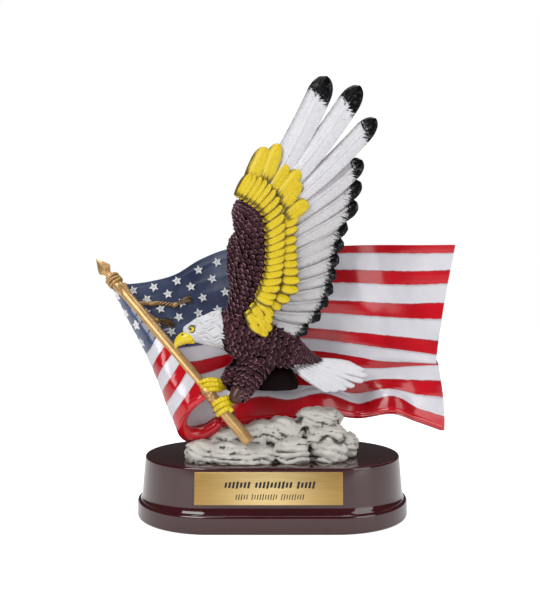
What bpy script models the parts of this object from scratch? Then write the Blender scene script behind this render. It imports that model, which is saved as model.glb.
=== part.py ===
"""Eagle trophy: a cast resin eagle, flag and rock on a moulded plinth with a name plate.

Lengths are in metres, with +Z up and the front towards -Y. The origin is the middle of the plinth's underside.
The figure keeps its pose and carving as shares of its own height, written in hundredths of that height.
"""

import math

import bmesh
import bpy
from mathutils import Matrix, Vector

# Plinth
PLINTH_WIDTH = 0.1524
PLINTH_DEPTH = 0.088
PLINTH_HEIGHT = 0.0336
LIP_HEIGHT = 0.0100
LIP_FOOT_ROUND = 0.0014
WAIST_INSET = 0.0027
WAIST_RISE = 0.0042
TOP_INSET = 0.0042
TOP_ROUND = 0.0011
ROUND_STEPS = 56

# Name plate
PLATE_WIDTH = 0.0766
PLATE_HEIGHT = 0.0168
PLATE_THICKNESS = 0.0010
PLATE_CORNER = 0.0004
PLATE_SHIFT = -0.0020

# Figure
FIGURE_HEIGHT = 0.210
FEATHER_THICKNESS = 0.0026
FLAG_THICKNESS = 0.0042
POLE_DIAMETER = 0.0062
SPEAR_LENGTH = 0.0135
SPEAR_WIDTH = 0.0080
SPEAR_THICKNESS = 0.0046
CORD_DIAMETER = 0.0024
TOE_DIAMETER = 0.0046
SEAT_GAP = 0.0003
FOOT_GROUND_OFF = 0.0014
VOXEL = 0.00085
FIGURE_TRIANGLES = 8300

HUNDREDTH = FIGURE_HEIGHT / 100.0

# Colours seen on the object
MAROON = (0.060, 0.012, 0.014, 1.0)
BRASS = (0.62, 0.42, 0.14, 1.0)
PAINTED_RESIN = (0.42, 0.36, 0.34, 1.0)


def at(x, y, z):
    """A point of the figure, in hundredths of its height from the middle of its foot as cast, before grinding."""
    foot = PLINTH_HEIGHT + SEAT_GAP - FOOT_GROUND_OFF
    return Vector((x * HUNDREDTH, y * HUNDREDTH, foot + z * HUNDREDTH))


def smooth_through(points, share):
    """The point at a share, 0 to 1, of a Catmull-Rom curve through the given vectors."""
    spans = len(points) - 1
    place = min(max(share, 0.0), 1.0) * spans
    index = min(int(place), spans - 1)
    t = place - index
    before = points[max(index - 1, 0)]
    start = points[index]
    end = points[index + 1]
    after = points[min(index + 2, spans)]
    return 0.5 * (
        2.0 * start
        + (end - before) * t
        + (2.0 * before - 5.0 * start + 4.0 * end - after) * t ** 2
        + (3.0 * start - before - 3.0 * end + after) * t ** 3
    )


def material(name, colour, roughness, metallic=0.0):
    made = bpy.data.materials.new(name)
    made.use_nodes = True
    shader = made.node_tree.nodes["Principled BSDF"]
    shader.inputs["Base Color"].default_value = colour
    shader.inputs["Roughness"].default_value = roughness
    shader.inputs["Metallic"].default_value = metallic
    return made


def add_object(name, data, collection):
    made = bpy.data.objects.new(name, data)
    collection.objects.link(made)
    return made


def evaluated_mesh(source):
    """A copy of the object's mesh with its modifiers applied, in world space."""
    bpy.context.view_layer.update()
    graph = bpy.context.evaluated_depsgraph_get()
    mesh = bpy.data.meshes.new_from_object(source.evaluated_get(graph))
    mesh.transform(source.matrix_world)
    return mesh


def add_grid_sheet(name, columns, rows, place, thickness, collection):
    """A sheet whose vertices stand where place(u, v) says for u and v from 0 to 1, given a wall by Solidify."""
    mesh = bpy.data.meshes.new(name)
    sheet = bmesh.new()
    bmesh.ops.create_grid(sheet, x_segments=columns, y_segments=rows, size=0.5)
    for vertex in sheet.verts:
        vertex.co = place(vertex.co.x + 0.5, vertex.co.y + 0.5)
    sheet.to_mesh(mesh)
    sheet.free()
    made = add_object(name, mesh, collection)
    wall = made.modifiers.new("Wall", "SOLIDIFY")
    wall.thickness = thickness
    wall.offset = 0.0
    return made


def add_tapered_tube(name, stations, collection, depth_share=1.0, samples=5):
    """A round body through stations (point, radius), smooth between them; depth_share flattens it front to back."""
    centres = [point for point, _ in stations]
    radii = [Vector((radius, 0.0, 0.0)) for _, radius in stations]
    count = (len(stations) - 1) * samples + 1
    middle = sum(centres, Vector()) / len(centres)
    curve = bpy.data.curves.new(name, "CURVE")
    curve.dimensions = "3D"
    curve.bevel_depth = 1.0
    curve.bevel_resolution = 4
    curve.use_fill_caps = True
    line = curve.splines.new("POLY")
    line.points.add(count - 1)
    for index in range(count):
        share = index / (count - 1)
        place = smooth_through(centres, share) - middle
        place.y /= depth_share
        line.points[index].co = (*place, 1.0)
        line.points[index].radius = smooth_through(radii, share).x
    made = add_object(name, curve, collection)
    made.location = middle
    made.scale.y = depth_share
    return made


def add_boulder(name, centre, radii, collection, turn=0.0):
    """A lump of rock: a sphere with its faces knocked flat by a few waves."""
    mesh = bpy.data.meshes.new(name)
    lump = bmesh.new()
    bmesh.ops.create_icosphere(lump, subdivisions=3, radius=1.0)
    for vertex in lump.verts:
        p = vertex.co
        wave = math.sin(4.1 * p.x + 2.3 * p.z + centre.x * 90.0) * math.sin(3.3 * p.y - 2.9 * p.z + centre.z * 70.0)
        vertex.co = p * (1.0 + 0.10 * wave)
    lump.to_mesh(mesh)
    lump.free()
    made = add_object(name, mesh, collection)
    made.location = centre
    made.rotation_euler = (0.0, turn, 0.0)
    made.scale = radii
    return made


# Plinth and name plate


def plinth_profile():
    """The moulding, as (distance from the middle of an end round, height), from the top's middle down."""
    outer = PLINTH_DEPTH / 2.0
    waist_top = PLINTH_HEIGHT - TOP_ROUND
    return [
        (0.0, PLINTH_HEIGHT),
        (outer - TOP_INSET - TOP_ROUND, PLINTH_HEIGHT),
        (outer - TOP_INSET - 0.3 * TOP_ROUND, PLINTH_HEIGHT - 0.3 * TOP_ROUND),
        (outer - TOP_INSET, waist_top),
        (outer - WAIST_INSET, LIP_HEIGHT + WAIST_RISE),
        (outer - 0.85 * WAIST_INSET, LIP_HEIGHT + 0.70 * WAIST_RISE),
        (outer - 0.30 * WAIST_INSET, LIP_HEIGHT + 0.35 * WAIST_RISE),
        (outer, LIP_HEIGHT),
        (outer, LIP_FOOT_ROUND),
        (outer - 0.30 * LIP_FOOT_ROUND, 0.30 * LIP_FOOT_ROUND),
        (outer - LIP_FOOT_ROUND, 0.0),
        (0.0, 0.0),
    ]


def add_plinth(collection, finish):
    """A turned moulding, opened along X into two round ends and a straight middle."""
    profile = plinth_profile()
    mesh = bpy.data.meshes.new("plinth_profile")
    mesh.from_pydata([(r, 0.0, z) for r, z in profile], [(i, i + 1) for i in range(len(profile) - 1)], [])
    turned = add_object("plinth_profile", mesh, collection)
    screw = turned.modifiers.new("Turn", "SCREW")
    screw.axis = "Z"
    screw.steps = ROUND_STEPS
    screw.render_steps = ROUND_STEPS
    screw.use_merge_vertices = True
    screw.merge_threshold = 0.00005
    body = evaluated_mesh(turned)
    bpy.data.objects.remove(turned)
    straight = (PLINTH_WIDTH - PLINTH_DEPTH) / 2.0
    on_axis = 0.0001
    for vertex in body.vertices:
        if abs(vertex.co.x) > on_axis:
            vertex.co.x += math.copysign(straight, vertex.co.x)
    body.shade_smooth()
    body.set_sharp_from_angle(angle=math.radians(30.0))
    made = add_object("plinth", body, collection)
    made.data.materials.append(finish)
    return made


def add_name_plate(collection, finish):
    """A thin plate on the plinth's flat front, parallel to its slope and a seat gap clear of it."""
    foot = Vector((0.0, -(PLINTH_DEPTH / 2.0 - WAIST_INSET), LIP_HEIGHT + WAIST_RISE))
    head = Vector((0.0, -(PLINTH_DEPTH / 2.0 - TOP_INSET), PLINTH_HEIGHT - TOP_ROUND))
    rise = (head - foot).normalized()
    outward = Vector((0.0, -rise.z, rise.y))
    middle = (head + foot) / 2.0 + outward * (SEAT_GAP + PLATE_THICKNESS / 2.0)
    mesh = bpy.data.meshes.new("name_plate")
    plate = bmesh.new()
    bmesh.ops.create_cube(plate, size=1.0)
    bmesh.ops.scale(plate, verts=plate.verts, vec=(PLATE_WIDTH, PLATE_THICKNESS, PLATE_HEIGHT))
    plate.to_mesh(mesh)
    plate.free()
    made = add_object("name_plate", mesh, collection)
    made.location = middle + Vector((PLATE_SHIFT, 0.0, 0.0))
    made.rotation_euler = (math.atan2(rise.y, rise.z) * -1.0, 0.0, 0.0)
    edge = made.modifiers.new("Edge", "BEVEL")
    edge.width = PLATE_CORNER
    edge.segments = 2
    made.data.materials.append(finish)
    return made


# Pole


POLE_HEAD = (-43.6, -0.5, 48.0)
POLE_FOOT = (-5.6, -17.1, 6.4)


def pole_point(share):
    """A point of the pole's axis, from its collar at 0 to its foot at 1."""
    return at(*POLE_HEAD).lerp(at(*POLE_FOOT), share)


def pole_direction():
    return (pole_point(1.0) - pole_point(0.0)).normalized()


def add_pole(collection):
    radius = POLE_DIAMETER / 2.0
    add_tapered_tube("pole_shaft", [(pole_point(0.0), radius), (pole_point(1.0), radius)], collection)
    collar = [
        (pole_point(-0.030), 1.05 * radius),
        (pole_point(-0.014), 1.38 * radius),
        (pole_point(0.014), 1.38 * radius),
        (pole_point(0.030), 1.05 * radius),
    ]
    add_tapered_tube("pole_collar", collar, collection)
    upward = -pole_direction()
    shoulder = pole_point(-0.028) + upward * SPEAR_LENGTH * 0.34
    add_spear_half("spear_foot", shoulder, -upward, SPEAR_LENGTH * 0.34, 0.50, collection)
    add_spear_half("spear_point", shoulder, upward, SPEAR_LENGTH * 0.66, 0.08, collection)


def add_spear_half(name, widest, direction, length, end_share, collection):
    """Half of the flat diamond spear head: a four-sided cone from its widest place to one end."""
    mesh = bpy.data.meshes.new(name)
    half = bmesh.new()
    bmesh.ops.create_cone(half, segments=4, radius1=1.0, radius2=end_share, depth=1.0, cap_ends=True)
    bmesh.ops.translate(half, verts=half.verts, vec=(0.0, 0.0, 0.5))
    half.to_mesh(mesh)
    half.free()
    made = add_object(name, mesh, collection)
    made.scale = (SPEAR_WIDTH / 2.0, SPEAR_THICKNESS / 2.0, length)
    across = direction.cross(Vector((0.0, 1.0, 0.0))).normalized()
    deep = direction.cross(across)
    turn = Matrix((across, deep, direction)).transposed()
    made.rotation_euler = turn.to_euler()
    made.location = widest


# Flag: a sheet that leaves the pole to the left, turns back round and flies to the right behind it


STRIPE = 1.0 / 13.0

# Each line down the flag: its share of the drop, its share of the pole, the loop to the left, and the part that flies
FLAG_LINES = [
    (0.0, 0.030,
     [(-42.4, -1.0, 45.9), (-43.2, 1.0, 46.2), (-41.8, 3.6, 46.4), (-39.2, 4.2, 46.5)],
     [(-33.4, 4.6, 47.3), (-27.0, 5.2, 49.2), (-20.0, 5.7, 53.5), (-11.0, 5.4, 56.6), (2.0, 4.8, 56.7), (14.0, 5.6, 56.9),
      (23.0, 6.9, 57.3), (31.5, 8.4, 57.6), (41.0, 7.4, 57.6), (51.4, 6.2, 57.6)]),
    (3.5 * STRIPE, 0.190,
     [(-36.8, -4.3, 37.8), (-38.0, -1.4, 36.6), (-36.6, 2.6, 36.7), (-33.4, 4.0, 37.4)],
     [(-28.6, 4.2, 38.8), (-23.5, 5.0, 40.2), (-17.0, 6.4, 41.6), (-8.5, 6.4, 43.4), (3.5, 6.0, 43.8), (14.0, 4.6, 44.0),
      (23.0, 4.8, 43.8), (31.0, 7.0, 43.3), (40.0, 8.2, 43.2), (49.0, 7.4, 43.6)]),
    (7 * STRIPE, 0.336,
     [(-31.3, -7.1, 29.7), (-32.9, -3.8, 27.7), (-31.4, 0.0, 27.4), (-28.6, 1.9, 28.0)],
     [(-25.0, 2.6, 28.7), (-21.0, 3.4, 29.2), (-15.0, 4.6, 30.0), (-8.0, 5.4, 31.0), (3.4, 5.6, 31.6), (13.4, 6.2, 31.0),
      (22.4, 5.4, 29.9), (30.4, 4.2, 28.8), (38.4, 4.2, 27.8), (45.7, 4.6, 26.8)]),
    (9 * STRIPE, 0.435,
     [(-28.0, -10.5, 24.4), (-29.5, -6.7, 21.1), (-28.0, -2.9, 20.0), (-24.7, -0.5, 21.2)],
     [(-20.6, 0.2, 21.4), (-16.4, 0.8, 22.4), (-11.4, 2.4, 24.0), (-5.0, 4.0, 25.2), (4.0, 4.8, 25.0), (13.4, 4.6, 24.7),
      (22.4, 4.2, 23.4), (30.6, 5.0, 23.0), (38.8, 5.6, 23.6), (46.4, 4.8, 24.0)]),
    (11 * STRIPE, 0.550,
     [(-24.4, -12.9, 18.8), (-26.8, -8.6, 15.1), (-25.5, -4.3, 12.6), (-21.6, -2.4, 14.0)],
     [(-17.6, -1.4, 15.8), (-14.2, -0.4, 17.4), (-9.6, 0.4, 18.6), (-3.6, 1.2, 18.8), (4.8, 2.0, 18.4), (14.0, 3.6, 17.8),
      (23.0, 5.4, 16.0), (31.6, 2.6, 17.3), (39.6, 4.0, 15.8), (47.5, 4.8, 15.1)]),
    (12 * STRIPE, 0.626,
     [(-22.2, -14.3, 16.7), (-25.1, -10.0, 11.7), (-22.9, -5.7, 8.4), (-18.5, -3.8, 8.8)],
     [(-14.9, -2.9, 10.8), (-12.2, -2.2, 12.6), (-8.4, -1.9, 14.6), (-3.0, -1.2, 15.8), (4.8, -0.4, 14.8), (14.0, 1.0, 16.2),
      (23.6, 4.4, 13.0), (32.4, 1.0, 15.6), (39.8, 3.2, 12.2), (47.7, 4.2, 9.7)]),
    (1.0, 0.686,
     [(-20.8, -15.2, 14.6), (-23.8, -11.0, 9.2), (-21.9, -6.7, 4.9), (-17.7, -4.8, 5.2)],
     [(-13.9, -3.9, 8.0), (-11.2, -3.3, 8.6), (-7.6, -2.7, 8.6), (-2.8, -1.9, 8.8), (4.8, -1.2, 9.6), (13.4, -0.6, 11.2),
      (23.4, 2.6, 9.6), (32.6, -0.2, 11.0), (39.6, 2.4, 8.8), (47.5, 3.8, 5.8)]),
]


def flag_line(hoist, loop, fly):
    return [pole_point(hoist)] + [at(*point) for point in loop + fly]


def flag_point(along, drop):
    """A point of the flag's middle surface: along from the pole to the fly, drop from its top to its hem."""
    shares = [line[0] for line in FLAG_LINES]
    above = max(index for index, share in enumerate(shares[:-1]) if share <= drop)
    within = (drop - shares[above]) / (shares[above + 1] - shares[above])
    places = [smooth_through(flag_line(hoist, loop, fly), along) for _, hoist, loop, fly in FLAG_LINES]
    return smooth_through(places, (above + within) / (len(places) - 1))


def add_flag(collection):
    add_grid_sheet("flag_cloth", 96, 40, flag_point, FLAG_THICKNESS, collection)


# Rock


BOULDERS = [
    ((-17.2, -10.0, 2.2), (6.0, 5.6, 4.0), 0.1),
    ((-7.6, -11.6, 2.4), (10.0, 5.6, 4.2), 0.05),
    ((-6.6, -5.6, 5.2), (8.6, 6.0, 5.2), -0.2),
    ((-15.0, -4.0, 3.4), (6.4, 6.0, 4.6), 0.2),
    ((5.4, -11.0, 3.4), (5.0, 5.4, 4.8), 0.0),
    ((3.2, -4.6, 6.6), (6.2, 6.0, 6.0), 0.3),
    ((12.8, -3.0, 8.6), (6.8, 6.0, 5.6), 0.0),
    ((14.0, -7.6, 5.0), (5.6, 5.4, 3.6), 0.1),
    ((14.8, -10.2, 2.6), (5.0, 4.6, 3.8), 0.0),
    ((20.0, -4.6, 3.2), (3.0, 5.0, 4.2), 0.0),
    ((-8.0, 3.0, 3.6), (9.4, 6.0, 7.0), 0.15),
    ((8.0, 3.6, 4.2), (10.4, 6.2, 8.0), -0.1),
    ((0.0, -2.0, 1.6), (19.0, 9.0, 3.0), 0.0),
]


def add_rock(collection):
    for number, (centre, radii, turn) in enumerate(BOULDERS):
        size = [radius * HUNDREDTH for radius in radii]
        add_boulder(f"boulder_{number:02d}", at(*centre), size, collection, turn)


# Eagle: body, head, legs and talons


BODY = [((-15.4, -9.4, 33.4), 4.6), ((-12.0, -8.8, 32.4), 5.7), ((-7.6, -7.8, 30.4), 6.6), ((-2.4, -6.9, 29.0), 6.4),
        ((3.4, -6.0, 28.0), 5.0), ((7.4, -5.5, 25.8), 3.6), ((11.0, -5.3, 22.8), 2.0)]
NECK_AND_HEAD = [((-10.4, -8.9, 32.4), 5.6), ((-13.6, -10.0, 33.0), 5.3), ((-16.6, -10.9, 33.6), 4.6),
                 ((-19.2, -11.4, 34.0), 3.5), ((-21.0, -11.6, 33.8), 2.3)]
BEAK = [((-19.6, -11.5, 33.0), 2.4), ((-21.6, -11.6, 32.9), 1.9), ((-23.6, -11.6, 31.8), 1.35), ((-24.6, -11.6, 30.4), 0.8),
        ((-24.4, -11.6, 29.4), 0.3)]
NEAR_LEG = [((-2.2, -8.3, 28.4), 5.0), ((-4.8, -10.2, 23.9), 4.1), ((-7.7, -12.0, 20.0), 3.1), ((-9.4, -13.0, 17.2), 2.0)]
FAR_LEG = [((-7.0, -5.4, 28.8), 4.4), ((-9.5, -7.6, 25.2), 3.5), ((-12.0, -9.6, 21.8), 2.5), ((-13.8, -10.6, 19.3), 1.6)]
BELLY = [((-1.0, -3.0, 26.0), 5.0), ((3.0, -2.4, 22.4), 4.0), ((4.6, 0.4, 21.0), 3.0)]
NEAR_FOOT_SHARE = 0.765
FAR_FOOT_SHARE = 0.655


def scaled(stations):
    return [(at(*point), radius * HUNDREDTH) for point, radius in stations]


def add_toe(name, share, lean, collection):
    """A toe that goes round the pole at a share of its length, leaning along it."""
    radius = POLE_DIAMETER / 2.0 + TOE_DIAMETER * 0.30
    axis = pole_direction()
    side = axis.cross(Vector((0.0, -1.0, 0.0))).normalized()
    front = side.cross(axis).normalized()
    stations = []
    for step in range(7):
        turn = math.radians(-75.0 + 42.0 * step)
        out = side * math.cos(turn) * -1.0 + front * math.sin(turn + math.pi / 2.0) * 1.0
        taper = 1.0 - 0.10 * step
        point = pole_point(share) + axis * lean * (step - 3.0) / 3.0 + out.normalized() * radius
        stations.append((point, TOE_DIAMETER / 2.0 * taper))
    add_tapered_tube(name, stations, collection, samples=3)


def add_talon(name, share, ankle, collection):
    pad = [(ankle, 1.5 * HUNDREDTH), (pole_point(share) + Vector((0.0, 1.0, 0.2)) * 1.2 * HUNDREDTH, 1.35 * HUNDREDTH)]
    add_tapered_tube(f"{name}_pad", pad, collection)
    for toe, offset in enumerate((-0.028, 0.0, 0.028)):
        add_toe(f"{name}_toe_{toe}", share + offset, offset * 0.06, collection)


def add_body(collection):
    add_tapered_tube("body", scaled(BODY), collection, depth_share=0.92)
    add_tapered_tube("neck_and_head", scaled(NECK_AND_HEAD), collection, depth_share=0.86)
    add_tapered_tube("beak", scaled(BEAK), collection, depth_share=0.62)
    add_tapered_tube("near_leg", scaled(NEAR_LEG), collection)
    add_tapered_tube("far_leg", scaled(FAR_LEG), collection)
    add_tapered_tube("belly", scaled(BELLY), collection)
    add_talon("near_talon", NEAR_FOOT_SHARE, at(*NEAR_LEG[-1][0]), collection)
    add_talon("far_talon", FAR_FOOT_SHARE, at(*FAR_LEG[-1][0]), collection)


# Eagle: wings and tail


NEAR_ARM = [((-9.2, -10.8, 34.6), 3.4), ((-7.6, -12.4, 40.0), 3.9), ((-6.0, -13.4, 46.6), 4.3), ((-4.8, -13.6, 54.0), 4.3),
            ((-5.6, -13.4, 61.0), 4.2), ((-6.4, -13.2, 65.6), 3.8), ((-7.2, -13.0, 67.4), 3.0)]
FAR_ARM = [((-5.0, -3.6, 34.0), 3.2), ((-6.6, -0.2, 40.0), 3.6), ((-8.0, 1.8, 46.6), 3.6), ((-8.9, 3.6, 52.6), 3.5),
           ((-8.8, 5.4, 57.4), 3.3), ((-8.0, 6.8, 60.4), 2.3)]

NEAR_FLIGHT_ROOTS = [(-3.4, -12.6, 66.0), (-1.4, -12.6, 65.0), (0.4, -12.4, 63.0), (1.4, -12.4, 60.4), (1.8, -12.2, 57.8),
                     (2.0, -12.2, 55.2), (2.0, -12.0, 52.6), (2.0, -12.0, 50.2), (1.8, -11.8, 47.8), (1.2, -11.6, 45.4),
                     (0.4, -11.6, 43.2), (-0.6, -11.4, 41.2), (-2.0, -11.2, 39.4), (-3.6, -11.0, 37.8), (-5.0, -10.8, 36.4)]
NEAR_FLIGHT_TIPS = [(13.9, -9.5, 99.7), (22.4, -9.5, 97.3), (26.5, -9.5, 88.8), (23.0, -9.0, 78.1), (22.6, -8.6, 72.6),
                    (21.6, -8.6, 67.4), (18.9, -8.1, 62.2), (17.5, -8.1, 58.0), (16.6, -8.1, 53.6), (16.1, -7.6, 49.8),
                    (15.4, -7.6, 45.9), (14.3, -7.1, 42.4), (12.4, -7.1, 38.6), (9.2, -6.9, 34.8), (5.2, -6.9, 31.2)]
NEAR_FLIGHT_WIDTHS = [6.4, 5.8, 5.2, 5.2, 5.0, 5.2, 5.2, 5.2, 5.2, 5.2, 5.2, 5.0, 5.0, 5.0, 5.0]
NEAR_OUTER_ROOTS = [(-4.6, -14.0, 66.6), (-1.6, -14.0, 64.0), (0.6, -14.0, 58.4), (0.8, -14.0, 51.4), (-0.4, -13.6, 44.4),
                    (-4.0, -13.0, 38.6), (-7.0, -12.6, 36.0)]
NEAR_OUTER_TIPS = [(-1.2, -13.6, 81.2), (3.8, -13.4, 78.6), (7.9, -13.2, 70.4), (6.6, -13.0, 60.8), (6.4, -12.8, 50.4),
                   (3.6, -12.2, 41.2), (-1.6, -11.8, 33.4)]
NEAR_INNER_ROOTS = [(-7.4, -15.2, 66.4), (-4.2, -15.2, 64.6), (-2.4, -15.4, 58.8), (-2.2, -15.4, 51.6), (-3.0, -15.2, 45.0),
                    (-5.6, -14.4, 39.6), (-8.2, -13.6, 37.0)]
NEAR_INNER_TIPS = [(-5.0, -14.6, 74.6), (-1.4, -14.6, 71.8), (2.4, -14.6, 63.4), (2.8, -14.4, 54.8), (1.2, -14.2, 47.0),
                   (-2.2, -13.6, 40.6), (-5.0, -12.8, 36.2)]

FAR_FLIGHT_ROOTS = [(-4.6, 7.0, 60.0), (-2.0, 6.0, 56.4), (-1.4, 4.6, 50.6), (-1.8, 2.8, 44.4), (-2.4, 0.2, 38.4)]
FAR_FLIGHT_TIPS = [(6.0, 17.0, 84.0), (15.0, 13.6, 79.6), (19.2, 8.6, 68.6), (19.6, 3.8, 58.0), (16.2, 2.6, 49.6),
                   (10.6, 1.0, 40.8), (6.4, -1.0, 34.0)]
FAR_OUTER_ROOTS = [(-5.6, 8.6, 60.8), (-2.8, 7.6, 55.6), (-2.6, 6.0, 49.6), (-3.0, 3.6, 43.0), (-3.6, 1.0, 38.0)]
FAR_OUTER_TIPS = [(-1.0, 12.6, 71.0), (4.4, 9.4, 63.0), (5.0, 7.0, 53.6), (4.4, 4.4, 44.6), (1.6, 1.8, 37.4)]

TAIL_ROOTS = [(11.2, -3.4, 25.2), (10.6, -4.4, 24.0), (9.6, -5.4, 23.2), (8.2, -6.6, 22.8), (6.8, -7.4, 22.6)]
TAIL_TIPS = [(20.6, -1.6, 23.4), (23.6, -2.6, 21.8), (23.4, -4.8, 19.4), (19.6, -7.2, 18.2), (13.2, -9.4, 17.6)]
COVERT_COUNT = 15
FLIGHT_SWEEP = -0.022
FAR_FLIGHT_COUNT = 13
TAIL_COUNT = 7


def feather_outline(share):
    """Half width of a feather at a share of its length, from its root to its round tip."""
    rise = 0.62 + 0.38 * math.sin(min(share / 0.55, 1.0) * math.pi / 2.0)
    tip_start = 0.86
    if share <= tip_start:
        return rise
    within = (share - tip_start) / (1.0 - tip_start)
    return rise * math.sqrt(max(1.0 - within ** 2, 0.0))


def add_feather(name, root, tip, half_width, facing, collection, sweep=0.0):
    """A blade from root to tip, crowned across, with its back to facing, and bowed sideways by sweep of its length."""
    length = tip - root
    along = length.normalized()
    across = along.cross(facing).normalized()
    out = across.cross(along).normalized()
    crown = 0.28 * half_width

    def place(along_share, across_share):
        u = math.sin(along_share * math.pi / 2.0)
        side = 2.0 * across_share - 1.0
        width = half_width * max(feather_outline(u), 0.10)
        lift = crown * (1.0 - side ** 2) + 0.03 * length.length * math.sin(u * math.pi)
        bow = sweep * length.length * math.sin(u * math.pi)
        return root + length * u + across * (side * width + bow) - out * lift

    return add_grid_sheet(name, 12, 4, place, FEATHER_THICKNESS, collection)


def row_points(points, count):
    vectors = [at(*point) for point in points]
    return [smooth_through(vectors, index / (count - 1)) for index in range(count)]


def add_feather_row(name, roots, tips, widths, facing, collection, sweep=0.0):
    for number, (root, tip, width) in enumerate(zip(roots, tips, widths)):
        add_feather(f"{name}_{number:02d}", root, tip, width * HUNDREDTH / 2.0, facing, collection, sweep)


def add_wings(collection):
    front = Vector((0.0, -1.0, 0.0))
    back = Vector((0.15, 1.0, -0.35)).normalized()
    add_tapered_tube("near_arm", scaled(NEAR_ARM), collection, depth_share=0.62)
    add_tapered_tube("far_arm", scaled(FAR_ARM), collection, depth_share=0.80)
    flights = len(NEAR_FLIGHT_TIPS)
    add_feather_row("near_flight", row_points(NEAR_FLIGHT_ROOTS, flights), row_points(NEAR_FLIGHT_TIPS, flights),
                    NEAR_FLIGHT_WIDTHS, -front, collection, FLIGHT_SWEEP)
    coverts = [3.6 - 0.4 * min(index / 5.0, 1.0) for index in range(COVERT_COUNT)]
    add_feather_row("near_outer", row_points(NEAR_OUTER_ROOTS, COVERT_COUNT), row_points(NEAR_OUTER_TIPS, COVERT_COUNT),
                    coverts, -front, collection)
    add_feather_row("near_inner", row_points(NEAR_INNER_ROOTS, COVERT_COUNT), row_points(NEAR_INNER_TIPS, COVERT_COUNT),
                    coverts, -front, collection)
    add_feather_row("far_flight", row_points(FAR_FLIGHT_ROOTS, FAR_FLIGHT_COUNT),
                    row_points(FAR_FLIGHT_TIPS, FAR_FLIGHT_COUNT), [5.4] * FAR_FLIGHT_COUNT, -back, collection)
    add_feather_row("far_outer", row_points(FAR_OUTER_ROOTS, COVERT_COUNT), row_points(FAR_OUTER_TIPS, COVERT_COUNT),
                    coverts, -back, collection)


def add_tail(collection):
    facing = Vector((-0.1, -0.75, 0.65)).normalized()
    add_feather_row("tail", row_points(TAIL_ROOTS, TAIL_COUNT), row_points(TAIL_TIPS, TAIL_COUNT), [4.0] * TAIL_COUNT,
                    -facing, collection)


# Cord and tassels


LONG_CORD = [(-41.4, -1.9, 46.6), (-40.4, 1.0, 45.6), (-39.0, 2.2, 43.4), (-36.9, 2.9, 41.8), (-34.6, 2.9, 40.9),
             (-31.3, 3.0, 41.2), (-27.1, 3.4, 40.6)]
LONG_TASSEL = [((-27.1, 3.4, 40.6), 0.6), ((-24.4, 3.8, 42.0), 1.2), ((-22.4, 4.0, 42.9), 1.0)]
SHORT_CORD = [(-41.2, -2.6, 46.2), (-39.8, -3.3, 43.4), (-38.5, -3.3, 41.8), (-36.3, -3.0, 40.6), (-34.0, 1.0, 38.2),
              (-32.1, 2.2, 36.4)]
SHORT_TASSEL = [((-32.1, 2.2, 36.4), 0.6), ((-29.5, 2.8, 36.2), 1.2), ((-26.8, 3.2, 34.9), 1.3)]


def add_cords(collection):
    for name, route, tassel in (("long", LONG_CORD, LONG_TASSEL), ("short", SHORT_CORD, SHORT_TASSEL)):
        stations = [(at(*point), CORD_DIAMETER / 2.0) for point in route]
        add_tapered_tube(f"{name}_cord", stations, collection)
        add_tapered_tube(f"{name}_tassel", scaled(tassel), collection)


# The casting: every form above made one closed surface


def join_meshes(sources, name):
    joined = bmesh.new()
    for source in sources:
        mesh = evaluated_mesh(source)
        joined.from_mesh(mesh)
        bpy.data.meshes.remove(mesh)
    mesh = bpy.data.meshes.new(name)
    joined.to_mesh(mesh)
    joined.free()
    return mesh


def keep_largest_shell(mesh):
    """Drops loose crumbs and closed pockets, so that the casting is one surface."""
    shell = bmesh.new()
    shell.from_mesh(mesh)
    unseen = set(shell.verts)
    islands = []
    while unseen:
        stack = [unseen.pop()]
        island = list(stack)
        while stack:
            for edge in stack.pop().link_edges:
                for vertex in edge.verts:
                    if vertex in unseen:
                        unseen.remove(vertex)
                        stack.append(vertex)
                        island.append(vertex)
        islands.append(island)
    largest = max(islands, key=len)
    spare = [vertex for island in islands if island is not largest for vertex in island]
    bmesh.ops.delete(shell, geom=spare, context="VERTS")
    shell.to_mesh(mesh)
    shell.free()


def cut_flat_below(made, height, cutters):
    """Cuts the casting flat where it stands on the plinth."""
    mesh = bpy.data.meshes.new("seat_cutter")
    block = bmesh.new()
    bmesh.ops.create_cube(block, size=1.0)
    side = 2.0 * PLINTH_WIDTH
    bmesh.ops.scale(block, verts=block.verts, vec=(side, side, side))
    bmesh.ops.translate(block, verts=block.verts, vec=(0.0, 0.0, height - side / 2.0))
    block.to_mesh(mesh)
    block.free()
    cutter = add_object("seat_cutter", mesh, cutters)
    cut = made.modifiers.new("Seat", "BOOLEAN")
    cut.operation = "DIFFERENCE"
    cut.solver = "EXACT"
    cut.object = cutter


def add_figure(forms, collection, cutters, finish):
    rough = add_object("figure_rough", join_meshes(forms.objects, "figure_rough"), collection)
    skin = rough.modifiers.new("Skin", "REMESH")
    skin.mode = "VOXEL"
    skin.voxel_size = VOXEL
    soften = rough.modifiers.new("Soften", "SMOOTH")
    soften.factor = 0.5
    soften.iterations = 2
    rough.modifiers.new("Triangles", "TRIANGULATE")
    fine = evaluated_mesh(rough)
    bpy.data.objects.remove(rough)
    keep_largest_shell(fine)
    whole = add_object("figure_fine", fine, collection)
    fewer = whole.modifiers.new("Fewer", "DECIMATE")
    fewer.ratio = FIGURE_TRIANGLES / len(fine.polygons)
    plain = evaluated_mesh(whole)
    bpy.data.objects.remove(whole)
    plain.name = "eagle_and_flag"
    made = add_object("eagle_and_flag", plain, collection)
    cut_flat_below(made, PLINTH_HEIGHT + SEAT_GAP, cutters)
    made.data.materials.append(finish)
    return made


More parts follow.
